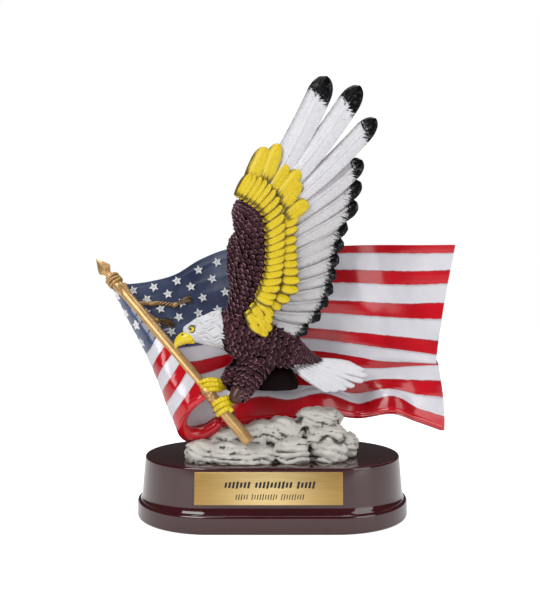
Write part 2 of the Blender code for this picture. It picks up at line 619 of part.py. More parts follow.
def main():
    for old in list(bpy.data.objects):
        bpy.data.objects.remove(old)
    trophy = bpy.data.collections.new("Eagle trophy")
    forms = bpy.data.collections.new("Forms of the casting")
    cutters = bpy.data.collections.new("Cutters")
    for group in (trophy, forms, cutters):
        bpy.context.scene.collection.children.link(group)
    add_plinth(trophy, material("Maroon lacquer", MAROON, 0.12))
    add_name_plate(trophy, material("Brushed brass", BRASS, 0.35, 1.0))
    add_flag(forms)
    add_pole(forms)
    add_rock(forms)
    add_body(forms)
    add_wings(forms)
    add_tail(forms)
    add_cords(forms)
    add_figure(forms, trophy, cutters, material("Painted resin", PAINTED_RESIN, 0.5))
    for guide in list(forms.objects) + list(cutters.objects):
        guide.hide_render = True
        guide.display_type = "WIRE"


main()
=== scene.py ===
"""Looks of the eagle trophy: painted resin eagle, flag and rock on a lacquered plinth."""

import math

import bmesh
import bpy
import numpy as np
from mathutils import Matrix, Vector, noise
from mathutils.bvhtree import BVHTree
from mathutils.kdtree import KDTree


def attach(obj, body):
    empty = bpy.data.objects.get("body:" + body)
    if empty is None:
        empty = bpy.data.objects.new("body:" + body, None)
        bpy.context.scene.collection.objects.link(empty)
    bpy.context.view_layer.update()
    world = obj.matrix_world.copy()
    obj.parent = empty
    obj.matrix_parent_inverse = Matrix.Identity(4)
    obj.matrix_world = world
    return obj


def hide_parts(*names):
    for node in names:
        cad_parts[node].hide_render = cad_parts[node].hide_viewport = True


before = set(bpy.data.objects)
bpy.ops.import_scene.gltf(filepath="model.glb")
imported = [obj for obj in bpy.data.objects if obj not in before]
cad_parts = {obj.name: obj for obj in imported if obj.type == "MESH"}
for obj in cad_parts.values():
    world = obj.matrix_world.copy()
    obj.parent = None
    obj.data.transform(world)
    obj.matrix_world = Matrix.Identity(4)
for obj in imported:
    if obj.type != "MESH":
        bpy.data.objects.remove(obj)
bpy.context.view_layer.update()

# Sizes shared with the part's source, in metres
PLINTH_WIDTH = 0.1524
PLINTH_DEPTH = 0.088
PLINTH_HEIGHT = 0.0336
LIP_HEIGHT = 0.0100
WAIST_INSET = 0.0027
WAIST_RISE = 0.0042
TOP_INSET = 0.0042
TOP_ROUND = 0.0011
PLATE_WIDTH = 0.0766
PLATE_HEIGHT = 0.0168
PLATE_THICKNESS = 0.0010
PLATE_SHIFT = -0.0020
FIGURE_HEIGHT = 0.210
FLAG_THICKNESS = 0.0036
POLE_RADIUS = 0.0031
SEAT_GAP = 0.0003
FOOT_GROUND_OFF = 0.0014
HUNDREDTH = FIGURE_HEIGHT / 100.0
FRONT = Vector((0.0, -1.0, 0.0))


def at(x, y, z):
    """A point of the figure, in hundredths of its height from the middle of its foot as cast."""
    foot = PLINTH_HEIGHT + SEAT_GAP - FOOT_GROUND_OFF
    return Vector((x * HUNDREDTH, y * HUNDREDTH, foot + z * HUNDREDTH))


def smooth_through(points, share):
    """The point at a share, 0 to 1, of a Catmull-Rom curve through the given vectors."""
    spans = len(points) - 1
    place = min(max(share, 0.0), 1.0) * spans
    index = min(int(place), spans - 1)
    t = place - index
    before = points[max(index - 1, 0)]
    start = points[index]
    end = points[index + 1]
    after = points[min(index + 2, spans)]
    return 0.5 * (
        2.0 * start
        + (end - before) * t
        + (2.0 * before - 5.0 * start + 4.0 * end - after) * t ** 2
        + (3.0 * start - before - 3.0 * end + after) * t ** 3
    )


def row_points(points, count):
    vectors = [at(*point) for point in points]
    return [smooth_through(vectors, index / (count - 1)) for index in range(count)]


def scaled(stations):
    return [(at(*point), radius * HUNDREDTH) for point, radius in stations]


# Modelling by hand: selection, edit mode and applied modifiers


def only(piece):
    bpy.ops.object.select_all(action="DESELECT")
    piece.select_set(True)
    bpy.context.view_layer.objects.active = piece


def settle(piece):
    only(piece)
    bpy.ops.object.transform_apply(location=True, rotation=True, scale=True)


def finish_with(piece, kind, **settings):
    only(piece)
    modifier = piece.modifiers.new(kind.title(), kind)
    for key, value in settings.items():
        setattr(modifier, key, value)
    bpy.ops.object.modifier_apply(modifier=modifier.name)


def face_outwards(piece, merge=0.0):
    only(piece)
    bpy.ops.object.mode_set(mode="EDIT")
    bpy.ops.mesh.select_all(action="SELECT")
    if merge:
        bpy.ops.mesh.remove_doubles(threshold=merge)
    bpy.ops.mesh.normals_make_consistent(inside=False)
    bpy.ops.object.mode_set(mode="OBJECT")


def join(name, parts):
    bpy.ops.object.select_all(action="DESELECT")
    for part in parts:
        part.select_set(True)
    bpy.context.view_layer.objects.active = parts[0]
    if len(parts) > 1:
        bpy.ops.object.join()
    made = bpy.context.view_layer.objects.active
    made.name = name
    made.data.name = name
    return made


def smooth(piece, degrees=40.0):
    only(piece)
    bpy.ops.object.shade_smooth_by_angle(angle=math.radians(degrees))


def add_sheet(name, columns, rows, place, marks=None):
    """A grid bent so that each point stands where place(u, v) says, with u and v kept as its UV map."""
    bpy.ops.object.select_all(action="DESELECT")
    bpy.ops.mesh.primitive_grid_add(x_subdivisions=columns, y_subdivisions=rows, size=1.0)
    sheet = bpy.context.object
    sheet.name = name
    spots = [(vertex.co.x + 0.5, vertex.co.y + 0.5) for vertex in sheet.data.vertices]
    for vertex, (u, v) in zip(sheet.data.vertices, spots):
        vertex.co = place(u, v)
    for mark, value in (marks or {}).items():
        layer = sheet.data.attributes.new(mark, "FLOAT", "POINT")
        layer.data.foreach_set("value", [value(u, v) for u, v in spots])
    return sheet


def add_tube(name, stations, along=32, around=24, depth_share=1.0, dome=0.06, relief=None, marks=None):
    """A round body rolled from a sheet through stations (point, radius), domed at both ends."""
    centres = [point for point, _ in stations]
    radii = [Vector((radius, 0.0, 0.0)) for _, radius in stations]

    def place(u, v):
        centre = smooth_through(centres, u)
        ahead = smooth_through(centres, min(u + 0.01, 1.0)) - smooth_through(centres, max(u - 0.01, 0.0))
        ahead.normalize()
        across = ahead.cross(Vector((0.0, 1.0, 0.0))).normalized()
        deep = across.cross(ahead).normalized()
        near_end = min(u, 1.0 - u) / dome
        closing = math.sqrt(max(1.0 - (1.0 - near_end) ** 2, 0.0)) if near_end < 1.0 else 1.0
        radius = smooth_through(radii, u).x * closing
        if relief:
            radius += relief(u, v) * closing
        turn = v * 2.0 * math.pi
        return centre + across * radius * math.cos(turn) + deep * radius * depth_share * math.sin(turn)

    tube = add_sheet(name, along, around, place, marks)
    face_outwards(tube, merge=0.00002)
    return tube


def one_skin(name, parts, voxel, soften=2):
    whole = join(name, parts)
    finish_with(whole, "REMESH", mode="VOXEL", voxel_size=voxel)
    if soften:
        finish_with(whole, "SMOOTH", factor=0.5, iterations=soften)
    return whole


def cut_below(piece, height):
    only(piece)
    bpy.ops.object.mode_set(mode="EDIT")
    bpy.ops.mesh.select_all(action="SELECT")
    bpy.ops.mesh.bisect(plane_co=(0.0, 0.0, height), plane_no=(0.0, 0.0, 1.0), use_fill=True, clear_inner=True)
    bpy.ops.object.mode_set(mode="OBJECT")


def mark_hollows(piece, rounds, strength, name="hollow", extra=None):
    """Marks where a skin dips below its own smoothed shape, for the painted shade laid there."""
    mesh = piece.data
    count = len(mesh.vertices)
    points = np.empty(count * 3)
    mesh.vertices.foreach_get("co", points)
    points = points.reshape(-1, 3)
    normals = np.empty(count * 3)
    mesh.vertices.foreach_get("normal", normals)
    normals = normals.reshape(-1, 3)
    edges = np.empty(len(mesh.edges) * 2, dtype=np.int64)
    mesh.edges.foreach_get("vertices", edges)
    first, second = edges.reshape(-1, 2).T
    share = np.bincount(first, minlength=count) + np.bincount(second, minlength=count)
    softer = points.copy()
    for _ in range(rounds):
        total = np.empty_like(softer)
        for axis in range(3):
            total[:, axis] = (np.bincount(first, softer[second, axis], count)
                              + np.bincount(second, softer[first, axis], count))
        softer = total / share[:, None]
    dip = ((softer - points) * normals).sum(axis=1) * strength
    if extra is not None:
        dip = dip + np.array(extra)
    mesh.attributes.new(name, "FLOAT", "POINT").data.foreach_set("value", np.clip(dip, 0.0, 1.0))


def take_place(piece, material, node="eagle_and_flag"):
    """Hands a finished piece its paint and its place in the frame."""
    piece.data.materials.clear()
    piece.data.materials.append(material)
    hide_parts(node)
    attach(piece, "root")
    return piece


# Paints: shared node groups


class Nodes:
    """A short way to place and link shader nodes in one tree."""

    def __init__(self, tree):
        self.tree = tree

    def put(self, kind, **settings):
        made = self.tree.nodes.new(kind)
        for key, value in settings.items():
            setattr(made, key, value)
        return made

    def feed(self, socket, value):
        if isinstance(value, bpy.types.NodeSocket):
            self.tree.links.new(value, socket)
        else:
            socket.default_value = value

    def maths(self, operation, first, second=0.0, third=0.0, clamp=False):
        made = self.put("ShaderNodeMath", operation=operation, use_clamp=clamp)
        for socket, value in zip(made.inputs, (first, second, third)):
            self.feed(socket, value)
        return made.outputs[0]

    def blend(self, share, first, second, mode="MIX"):
        made = self.put("ShaderNodeMix", data_type="RGBA", blend_type=mode)
        self.feed(made.inputs[0], share)
        self.feed(made.inputs[6], first)
        self.feed(made.inputs[7], second)
        return made.outputs[2]

    def ramp(self, value, low, high, start=0.0, end=1.0):
        made = self.put("ShaderNodeMapRange", interpolation_type="SMOOTHSTEP")
        for socket, item in zip(made.inputs, (value, low, high, start, end)):
            self.feed(socket, item)
        return made.outputs[0]

    def mark(self, name):
        return self.put("ShaderNodeAttribute", attribute_name=name).outputs["Fac"]

    def coordinates(self, stretch=(1.0, 1.0, 1.0), kind="Object"):
        mapping = self.put("ShaderNodeMapping")
        self.feed(mapping.inputs["Vector"], self.put("ShaderNodeTexCoord").outputs[kind])
        mapping.inputs["Scale"].default_value = stretch
        return mapping.outputs[0]

    def noise(self, vector, scale, detail=4.0, roughness=0.55):
        made = self.put("ShaderNodeTexNoise")
        self.feed(made.inputs["Vector"], vector)
        self.feed(made.inputs["Scale"], scale)
        made.inputs["Detail"].default_value = detail
        made.inputs["Roughness"].default_value = roughness
        return made.outputs["Fac"]

    def group(self, shared, **values):
        made = self.put("ShaderNodeGroup", node_tree=shared)
        for key, value in values.items():
            self.feed(made.inputs[key.replace("_", " ").capitalize()], value)
        return made.outputs


def new_group(name, inputs, outputs):
    tree = bpy.data.node_groups.new(name, "ShaderNodeTree")
    for label, kind, value in inputs:
        socket = tree.interface.new_socket(label, in_out="INPUT", socket_type=kind)
        socket.default_value = value
    for label, kind in outputs:
        tree.interface.new_socket(label, in_out="OUTPUT", socket_type=kind)
    nodes = Nodes(tree)
    return nodes, nodes.put("NodeGroupInput").outputs, nodes.put("NodeGroupOutput").inputs


COLOUR = "NodeSocketColor"
VALUE = "NodeSocketFloat"
GREY = (0.5, 0.5, 0.5, 1.0)


def hollow_shade_group():
    """Painted shade in the hollows of a brushed-on colour, uneven from place to place."""
    nodes, given, out = new_group("Wash in the hollows", [
        ("Paint", COLOUR, GREY), ("Wash", COLOUR, GREY), ("Hollow", VALUE, 0.0), ("Amount", VALUE, 1.0),
        ("Grain", VALUE, 900.0)], [("Colour", COLOUR), ("Roughness", VALUE), ("Height", VALUE)])
    vector = nodes.coordinates()
    fine = nodes.noise(vector, given["Grain"], 3.0, 0.6)
    broad = nodes.noise(vector, 160.0, 2.0, 0.5)
    uneven = nodes.maths("MULTIPLY_ADD", fine, 0.9, nodes.maths("MULTIPLY_ADD", broad, 0.6, -0.75))
    hollow = nodes.maths("ADD", given["Hollow"], nodes.maths("MULTIPLY", uneven, 0.5))
    shade_share = nodes.ramp(hollow, 0.15, 0.85)
    share = nodes.maths("MULTIPLY", shade_share, given["Amount"], clamp=True)
    painted = nodes.blend(share, given["Paint"], given["Wash"])
    lighter = nodes.blend(nodes.ramp(broad, 0.35, 0.75, 0.0, 0.16), painted, (1.0, 1.0, 1.0, 1.0), "SOFT_LIGHT")
    nodes.feed(out["Colour"], lighter)
    nodes.feed(out["Roughness"], nodes.maths("MULTIPLY_ADD", fine, 0.16, 0.0))
    nodes.feed(out["Height"], nodes.maths("MULTIPLY_ADD", broad, 0.5, fine))
    return nodes.tree


def brush_group():
    """Fine parallel brushing with slight waviness, for metal and satin paint."""
    nodes, given, out = new_group("Brushing", [
        ("Paint", COLOUR, GREY), ("Shade", COLOUR, GREY), ("Length", VALUE, 40.0), ("Fineness", VALUE, 2600.0)],
        [("Colour", COLOUR), ("Roughness", VALUE), ("Height", VALUE)])
    stretch = nodes.put("ShaderNodeCombineXYZ")
    nodes.feed(stretch.inputs[0], given["Length"])
    nodes.feed(stretch.inputs[1], given["Fineness"])
    nodes.feed(stretch.inputs[2], given["Fineness"])
    scaled = nodes.put("ShaderNodeVectorMath", operation="MULTIPLY")
    nodes.feed(scaled.inputs[0], nodes.put("ShaderNodeTexCoord").outputs["Object"])
    nodes.feed(scaled.inputs[1], stretch.outputs[0])
    lines = nodes.noise(scaled.outputs[0], 1.0, 2.0, 0.5)
    nodes.feed(out["Colour"], nodes.blend(nodes.ramp(lines, 0.3, 0.7), given["Shade"], given["Paint"]))
    nodes.feed(out["Roughness"], nodes.maths("MULTIPLY", lines, 0.2))
    nodes.feed(out["Height"], lines)
    return nodes.tree


# Painted shade in the hollows, shared by the paints below
HOLLOW_SHADE = hollow_shade_group()
BRUSHING = brush_group()


def new_paint(name, roughness, coat=0.0, metallic=0.0, coat_roughness=0.06, specular=0.5):
    made = bpy.data.materials.new(name)
    made.use_nodes = True
    shader = made.node_tree.nodes["Principled BSDF"]
    shader.inputs["Roughness"].default_value = roughness
    shader.inputs["Metallic"].default_value = metallic
    shader.inputs["Coat Weight"].default_value = coat
    shader.inputs["Coat Roughness"].default_value = coat_roughness
    shader.inputs["Specular IOR Level"].default_value = specular
    return made, Nodes(made.node_tree), shader.inputs


def relief(nodes, inputs, height, strength, distance):
    bump = nodes.put("ShaderNodeBump")
    bump.inputs["Strength"].default_value = strength
    bump.inputs["Distance"].default_value = distance
    nodes.feed(bump.inputs["Height"], height)
    nodes.feed(inputs["Normal"], bump.outputs["Normal"])


def hollow_shaded_paint(name, paint, wash, hollow, amount, roughness, coat=0.0, grain=900.0, bump=0.25, specular=0.5):
    """One brushed-on colour, darkened with painted shade where the mark called hollow is high."""
    made, nodes, inputs = new_paint(name, roughness, coat, specular=specular)
    mark = nodes.mark(hollow) if hollow else 0.0
    shared = nodes.group(HOLLOW_SHADE, paint=paint, wash=wash, hollow=mark, amount=amount, grain=grain)
    nodes.feed(inputs["Base Color"], shared["Colour"])
    nodes.feed(inputs["Roughness"], nodes.maths("ADD", shared["Roughness"], roughness - 0.08))
    relief(nodes, inputs, shared["Height"], bump, 0.00012)
    return made


def lacquer_paint():
    made, nodes, inputs = new_paint("Maroon lacquer", 0.10, 1.0, coat_roughness=0.03)
    shared = nodes.group(HOLLOW_SHADE, paint=(0.046, 0.0070, 0.0095, 1.0), wash=(0.026, 0.004, 0.0055, 1.0), hollow=0.35,
                         amount=0.5, grain=60.0)
    nodes.feed(inputs["Base Color"], shared["Colour"])
    nodes.feed(inputs["Roughness"], nodes.maths("MULTIPLY_ADD", shared["Roughness"], 0.35, 0.06))
    relief(nodes, inputs, shared["Height"], 0.04, 0.0004)
    return made


def brass_paint():
    made, nodes, inputs = new_paint("Brushed brass", 0.34, metallic=0.65)
    place = nodes.put("ShaderNodeSeparateXYZ")
    nodes.feed(place.inputs[0], nodes.put("ShaderNodeTexCoord").outputs["Object"])
    # Painted reflection: the brass is lighter towards the plate's middle along X and darker towards its ends
    offset = nodes.maths("ABSOLUTE", nodes.maths("SUBTRACT", place.outputs[0], PLATE_SHIFT))
    middle = nodes.ramp(offset, 0.0, PLATE_WIDTH / 2.0, 1.0, 0.0)
    ground = nodes.blend(middle, (0.58, 0.36, 0.115, 1.0), (1.0, 0.78, 0.38, 1.0))
    shade = nodes.blend(middle, (0.48, 0.29, 0.085, 1.0), (0.92, 0.66, 0.28, 1.0))
    shared = nodes.group(BRUSHING, paint=ground, shade=shade, length=60.0, fineness=5200.0)
    nodes.feed(inputs["Base Color"], shared["Colour"])
    nodes.feed(inputs["Roughness"], nodes.maths("ADD", shared["Roughness"], 0.30))
    relief(nodes, inputs, shared["Height"], 0.25, 0.00005)
    return made


def gold_paint():
    made, nodes, inputs = new_paint("Satin gold paint", 0.30, 0.25, 0.60, 0.28)
    shared = nodes.group(BRUSHING, paint=(0.70, 0.44, 0.185, 1.0), shade=(0.58, 0.35, 0.135, 1.0), length=120.0,
                         fineness=260.0)
    nodes.feed(inputs["Base Color"], shared["Colour"])
    nodes.feed(inputs["Roughness"], nodes.maths("ADD", shared["Roughness"], 0.26))
    return made


# Where the flag's colours stop, in stripes down from its top edge
STRIPE_BREAKS = [0.80, 1.97, 2.80, 4.00, 4.87, 6.02, 7.00, 8.0, 9.0, 10.0, 11.0, 12.0]
CANTON_END = 0.625
CANTON_DROP = 7.0


def enamel_paint():
    """Red and white stripes and a slate-blue corner, laid out on the flag's own UV map."""
    made, nodes, inputs = new_paint("Flag enamel", 0.18, 0.5, coat_roughness=0.16)
    place = nodes.put("ShaderNodeSeparateXYZ")
    nodes.feed(place.inputs[0], nodes.put("ShaderNodeTexCoord").outputs["UV"])
    along = place.outputs[0]
    wander = nodes.noise(nodes.coordinates(), 240.0, 2.0, 0.5)
    drop = nodes.maths("MULTIPLY", place.outputs[1], 13.0)
    drop = nodes.maths("ADD", drop, nodes.maths("MULTIPLY_ADD", wander, 0.10, -0.05))
    stripes = 1.0
    line = 0.0
    for number, stop in enumerate(STRIPE_BREAKS):
        edge = nodes.ramp(drop, stop - 0.035, stop + 0.035)
        sign = -1.0 if number % 2 == 0 else 1.0
        stripes = nodes.maths("MULTIPLY_ADD", edge, sign, stripes)
        # A darker line just past each stripe border: painted shade in the shallow groove carved along it
        near = nodes.ramp(nodes.maths("ABSOLUTE", nodes.maths("SUBTRACT", drop, stop + 0.04)), 0.0, 0.10, 1.0, 0.0)
        line = nodes.maths("MAXIMUM", line, near)
    tone = nodes.noise(nodes.coordinates((1.0, 1.0, 0.6)), 38.0, 3.0, 0.5)
    red = nodes.blend(nodes.ramp(tone, 0.3, 0.7), (0.40, 0.0015, 0.007, 1.0), (0.60, 0.004, 0.014, 1.0))
    white = nodes.blend(nodes.ramp(tone, 0.3, 0.7), (0.62, 0.60, 0.66, 1.0), (0.72, 0.71, 0.76, 1.0))
    # Painted sheen: the blue's broad patches run from deep to much lighter
    blue = nodes.blend(nodes.ramp(tone, 0.3, 0.7), (0.030, 0.043, 0.096, 1.0), (0.110, 0.135, 0.230, 1.0))
    cloth = nodes.blend(stripes, white, red)
    in_corner = nodes.maths("MULTIPLY", nodes.maths("LESS_THAN", along, CANTON_END),
                            nodes.maths("LESS_THAN", drop, CANTON_DROP))
    cloth = nodes.blend(nodes.maths("MULTIPLY", line, 0.28), cloth, (0.16, 0.05, 0.06, 1.0))
    cloth = nodes.blend(in_corner, cloth, blue)
    shared = nodes.group(HOLLOW_SHADE, paint=cloth, wash=(0.10, 0.08, 0.10, 1.0), hollow=0.0, amount=0.10, grain=300.0)
    nodes.feed(inputs["Base Color"], shared["Colour"])
    nodes.feed(inputs["Roughness"], nodes.maths("MULTIPLY_ADD", shared["Roughness"], 0.7, 0.12))
    relief(nodes, inputs, shared["Height"], 0.06, 0.0004)
    return made


def star_paint():
    made, nodes, inputs = new_paint("Star paint", 0.4, 0.2)
    middle = nodes.mark("middle")
    paint = nodes.blend(nodes.ramp(middle, 0.25, 0.9), (0.86, 0.86, 0.86, 1.0), (0.42, 0.50, 0.62, 1.0))
    shared = nodes.group(HOLLOW_SHADE, paint=paint, wash=(0.25, 0.26, 0.30, 1.0), hollow=0.1, amount=0.35, grain=1500.0)
    nodes.feed(inputs["Base Color"], shared["Colour"])
    relief(nodes, inputs, shared["Height"], 0.2, 0.0001)
    return made


def plumage_paint():
    """Purple-brown, with painted shade making the gaps between the scales black, and rims lighter: partly dry-brushed
    paint, partly painted highlight.
    """
    made, nodes, inputs = new_paint("Purple-brown plumage", 0.36, specular=0.32)
    rim = nodes.mark("rim")
    shade = nodes.mark("shade")
    tone = nodes.noise(nodes.coordinates(), 300.0, 3.0, 0.6)
    ground = nodes.blend(shade, (0.024, 0.009, 0.012, 1.0), (0.060, 0.021, 0.029, 1.0))
    ground = nodes.blend(nodes.ramp(tone, 0.42, 0.78, 0.0, 0.5), ground, (0.085, 0.033, 0.046, 1.0))
    # The rims' lighter colour: partly dry-brushed paint, partly painted highlight
    light = nodes.blend(shade, (0.20, 0.090, 0.110, 1.0), (0.40, 0.22, 0.26, 1.0))
    drybrush_and_highlight = nodes.maths("MULTIPLY", nodes.ramp(rim, 0.60, 1.0), nodes.ramp(tone, 0.34, 0.62, 0.15, 1.0))
    rubbed_and_highlit = nodes.blend(drybrush_and_highlight, ground, light)
    # Painted shade: near-black where the rim mark is low, at the scales' roots under the scale above
    hollow = nodes.ramp(rim, 0.05, 0.42, 1.0, 0.0)
    shared = nodes.group(HOLLOW_SHADE, paint=rubbed_and_highlit, wash=(0.004, 0.0024, 0.003, 1.0), hollow=hollow, amount=1.0, grain=1400.0)
    nodes.feed(inputs["Base Color"], shared["Colour"])
    nodes.feed(inputs["Specular IOR Level"], nodes.ramp(rim, 0.45, 1.0, 0.04, 0.55))
    nodes.feed(inputs["Roughness"], nodes.maths("ADD", shared["Roughness"], 0.26))
    relief(nodes, inputs, shared["Height"], 0.35, 0.00015)
    return made


def feather_paint():
    """White feathers with grey lines between the barbs, painted shade where the hollow mark is high, and black tips
    laid on in short dabs.
    """
    made, nodes, inputs = new_paint("White flight feathers", 0.38, 0.15, coat_roughness=0.2)
    barb = nodes.mark("barb")
    hollow = nodes.mark("hollow")
    tip = nodes.mark("tip")
    tone = nodes.noise(nodes.coordinates(), 420.0, 3.0, 0.6)
    lines = nodes.ramp(nodes.maths("FRACT", barb), 0.50, 0.95)
    lines = nodes.maths("MULTIPLY", lines, nodes.ramp(tone, 0.38, 0.70, 0.10, 0.70))
    lines = nodes.maths("MULTIPLY", lines, nodes.maths("MULTIPLY_ADD", nodes.mark("clean"), -0.5, 1.0))
    white = nodes.blend(nodes.mark("clean"), (0.54, 0.52, 0.52, 1.0), (0.72, 0.71, 0.75, 1.0))
    white = nodes.blend(lines, white, (0.42, 0.40, 0.41, 1.0))
    # Painted shade where the hollow mark is high
    shared = nodes.group(HOLLOW_SHADE, paint=white, wash=(0.035, 0.029, 0.029, 1.0), hollow=hollow, amount=0.88, grain=700.0)
    streaks = nodes.noise(nodes.coordinates((46.0, 3.0, 1.0), "UV"), 1.0, 2.0)
    dabs = nodes.maths("ADD", tip, nodes.maths("MULTIPLY_ADD", streaks, 1.7, -0.85))
    dabs = nodes.maths("ADD", dabs, nodes.maths("MULTIPLY_ADD", nodes.noise(nodes.coordinates(), 900.0, 3.0), 0.6, -0.3))
    black = nodes.ramp(dabs, 0.30, 0.70)
    bare = nodes.maths("MULTIPLY", lines, nodes.ramp(tone, 0.52, 0.66, 0.0, 0.7))
    dark = nodes.blend(bare, (0.004, 0.004, 0.005, 1.0), (0.34, 0.34, 0.38, 1.0))
    nodes.feed(inputs["Base Color"], nodes.blend(black, shared["Colour"], dark))
    nodes.feed(inputs["Specular IOR Level"], nodes.maths("MULTIPLY_ADD", black, -0.34, 0.5))
    nodes.feed(inputs["Coat Weight"], nodes.maths("MULTIPLY_ADD", black, -0.15, 0.15))
    nodes.feed(inputs["Roughness"], nodes.maths("MULTIPLY_ADD", black, -0.16, 0.40))
    relief(nodes, inputs, shared["Height"], 0.2, 0.00012)
    return made


def yellow_feather_paint():
    made, nodes, inputs = new_paint("Yellow feather paint", 0.42, 0.12, coat_roughness=0.2)
    barb = nodes.mark("barb")
    hollow = nodes.mark("hollow")
    tone = nodes.noise(nodes.coordinates(), 500.0, 3.0, 0.6)
    lines = nodes.maths("MULTIPLY", nodes.ramp(nodes.maths("FRACT", barb), 0.5, 1.0), nodes.ramp(tone, 0.35, 0.75, 0.0, 0.45))
    yellow = nodes.blend(lines, (0.76, 0.56, 0.006, 1.0), (0.42, 0.27, 0.006, 1.0))
    # Painted shade, a dark olive, where the hollow mark is high
    shared = nodes.group(HOLLOW_SHADE, paint=yellow, wash=(0.070, 0.040, 0.006, 1.0), hollow=hollow, amount=0.92, grain=420.0)
    nodes.feed(inputs["Base Color"], shared["Colour"])
    nodes.feed(inputs["Roughness"], nodes.maths("ADD", shared["Roughness"], 0.34))
    relief(nodes, inputs, shared["Height"], 0.2, 0.00012)
    return made


LACQUER = lacquer_paint()
BRASS = brass_paint()
GOLD = gold_paint()
ENAMEL = enamel_paint()
STAR_WHITE = star_paint()
PLUMAGE = plumage_paint()
FEATHER_WHITE = feather_paint()
FEATHER_YELLOW = yellow_feather_paint()
# The rope's gold, with painted shade in its creases
OLD_GOLD = hollow_shaded_paint("Gold rope with painted shade", (0.50, 0.29, 0.105, 1.0), (0.016, 0.007, 0.003, 1.0), "hollow", 1.0, 0.30, 0.5)
STONE = hollow_shaded_paint("Stone grey", (0.60, 0.58, 0.53, 1.0), (0.060, 0.052, 0.045, 1.0), "hollow", 0.95, 0.55, 0.1, 700.0, 0.6)
HEAD_WHITE = hollow_shaded_paint("Head white", (0.64, 0.64, 0.67, 1.0), (0.17, 0.16, 0.18, 1.0), "hollow", 0.85, 0.40, 0.1)
BILL_YELLOW = hollow_shaded_paint("Bill and talon yellow", (0.80, 0.60, 0.010, 1.0), (0.16, 0.08, 0.01, 1.0), "hollow", 0.8, 0.24, 0.6)
CLAW_BLACK = hollow_shaded_paint("Claw black", (0.010, 0.009, 0.010, 1.0), (0.002, 0.002, 0.002, 1.0), None, 0.5, 0.22, 0.5)
# Near-black paint: partly the black paint under the belly, partly painted shade between the scales and between the legs
UNDER_BLACK_AND_SHADE = hollow_shaded_paint("Dark underside and painted shade", (0.006, 0.002, 0.0025, 1.0), (0.002, 0.001, 0.001, 1.0), None, 0.8, 0.6,
                          specular=0.08)
KNOB_BROWN = hollow_shaded_paint("Red-brown ankle", (0.070, 0.023, 0.016, 1.0), (0.012, 0.005, 0.005, 1.0), None, 0.6, 0.36, 0.2)
HEM_RED = hollow_shaded_paint("Hem red", (0.56, 0.003, 0.012, 1.0), (0.34, 0.0015, 0.006, 1.0), None, 0.6, 0.16, 0.8, 300.0, 0.05)
STROKE_BLACK = hollow_shaded_paint("Filled strokes", (0.020, 0.017, 0.014, 1.0), (0.008, 0.007, 0.006, 1.0), None, 0.6, 0.5)


# Plinth and name plate


def add_plinth():
    """The moulding's profile spun round and opened along X into two round ends."""
    outer = PLINTH_DEPTH / 2.0
    profile = [(0.0, 0.0), (outer - 0.0014, 0.0)]
    foot_round = 0.0013
    for step in range(7):
        turn = math.radians(-90.0 + 15.0 * step)
        profile.append((outer - foot_round + foot_round * math.cos(turn), foot_round + foot_round * math.sin(turn)))
    lip_round = 0.0016
    for step in range(7):
        turn = math.radians(15.0 * step)
        profile.append((outer - lip_round + lip_round * math.cos(turn), LIP_HEIGHT - lip_round + lip_round * math.sin(turn)))
    cove = [(0.62, 0.10), (0.76, 0.22), (0.87, 0.42), (0.95, 0.68), (1.0, 1.0)]
    for inward, rise in cove:
        profile.append((outer - WAIST_INSET * inward, LIP_HEIGHT + WAIST_RISE * rise))
    profile.append((outer - TOP_INSET, PLINTH_HEIGHT - TOP_ROUND))
    for step in range(1, 7):
        turn = math.radians(15.0 * step)
        profile.append((outer - TOP_INSET - TOP_ROUND + TOP_ROUND * math.cos(turn),
                        PLINTH_HEIGHT - TOP_ROUND + TOP_ROUND * math.sin(turn)))
    profile.append((0.0, PLINTH_HEIGHT))
    bpy.ops.object.select_all(action="DESELECT")
    bpy.ops.mesh.primitive_plane_add(size=1.0)
    plinth = bpy.context.object
    plinth.name = "plinth_lacquer"
    line = bmesh.new()
    points = [line.verts.new((radius, 0.0, height)) for radius, height in profile]
    for first, second in zip(points, points[1:]):
        line.edges.new((first, second))
    line.to_mesh(plinth.data)
    line.free()
    bpy.ops.object.mode_set(mode="EDIT")
    bpy.ops.mesh.select_all(action="SELECT")
    bpy.ops.mesh.spin(steps=128, angle=2.0 * math.pi, center=(0.0, 0.0, 0.0), axis=(0.0, 0.0, 1.0))
    bpy.ops.object.mode_set(mode="OBJECT")
    face_outwards(plinth, merge=0.00002)
    straight = (PLINTH_WIDTH - PLINTH_DEPTH) / 2.0
    for vertex in plinth.data.vertices:
        if abs(vertex.co.x) > 0.0001:
            vertex.co.x += math.copysign(straight, vertex.co.x)
    smooth(plinth, 35.0)
    return take_place(plinth, LACQUER, "plinth")


def plate_frame():
    foot = Vector((0.0, -(PLINTH_DEPTH / 2.0 - WAIST_INSET), LIP_HEIGHT + WAIST_RISE))
    head = Vector((0.0, -(PLINTH_DEPTH / 2.0 - TOP_INSET), PLINTH_HEIGHT - TOP_ROUND))
    rise = (head - foot).normalized()
    outward = Vector((0.0, -rise.z, rise.y))
    middle = (head + foot) / 2.0 + outward * (SEAT_GAP + PLATE_THICKNESS / 2.0) + Vector((PLATE_SHIFT, 0.0, 0.0))
    return middle, rise, outward


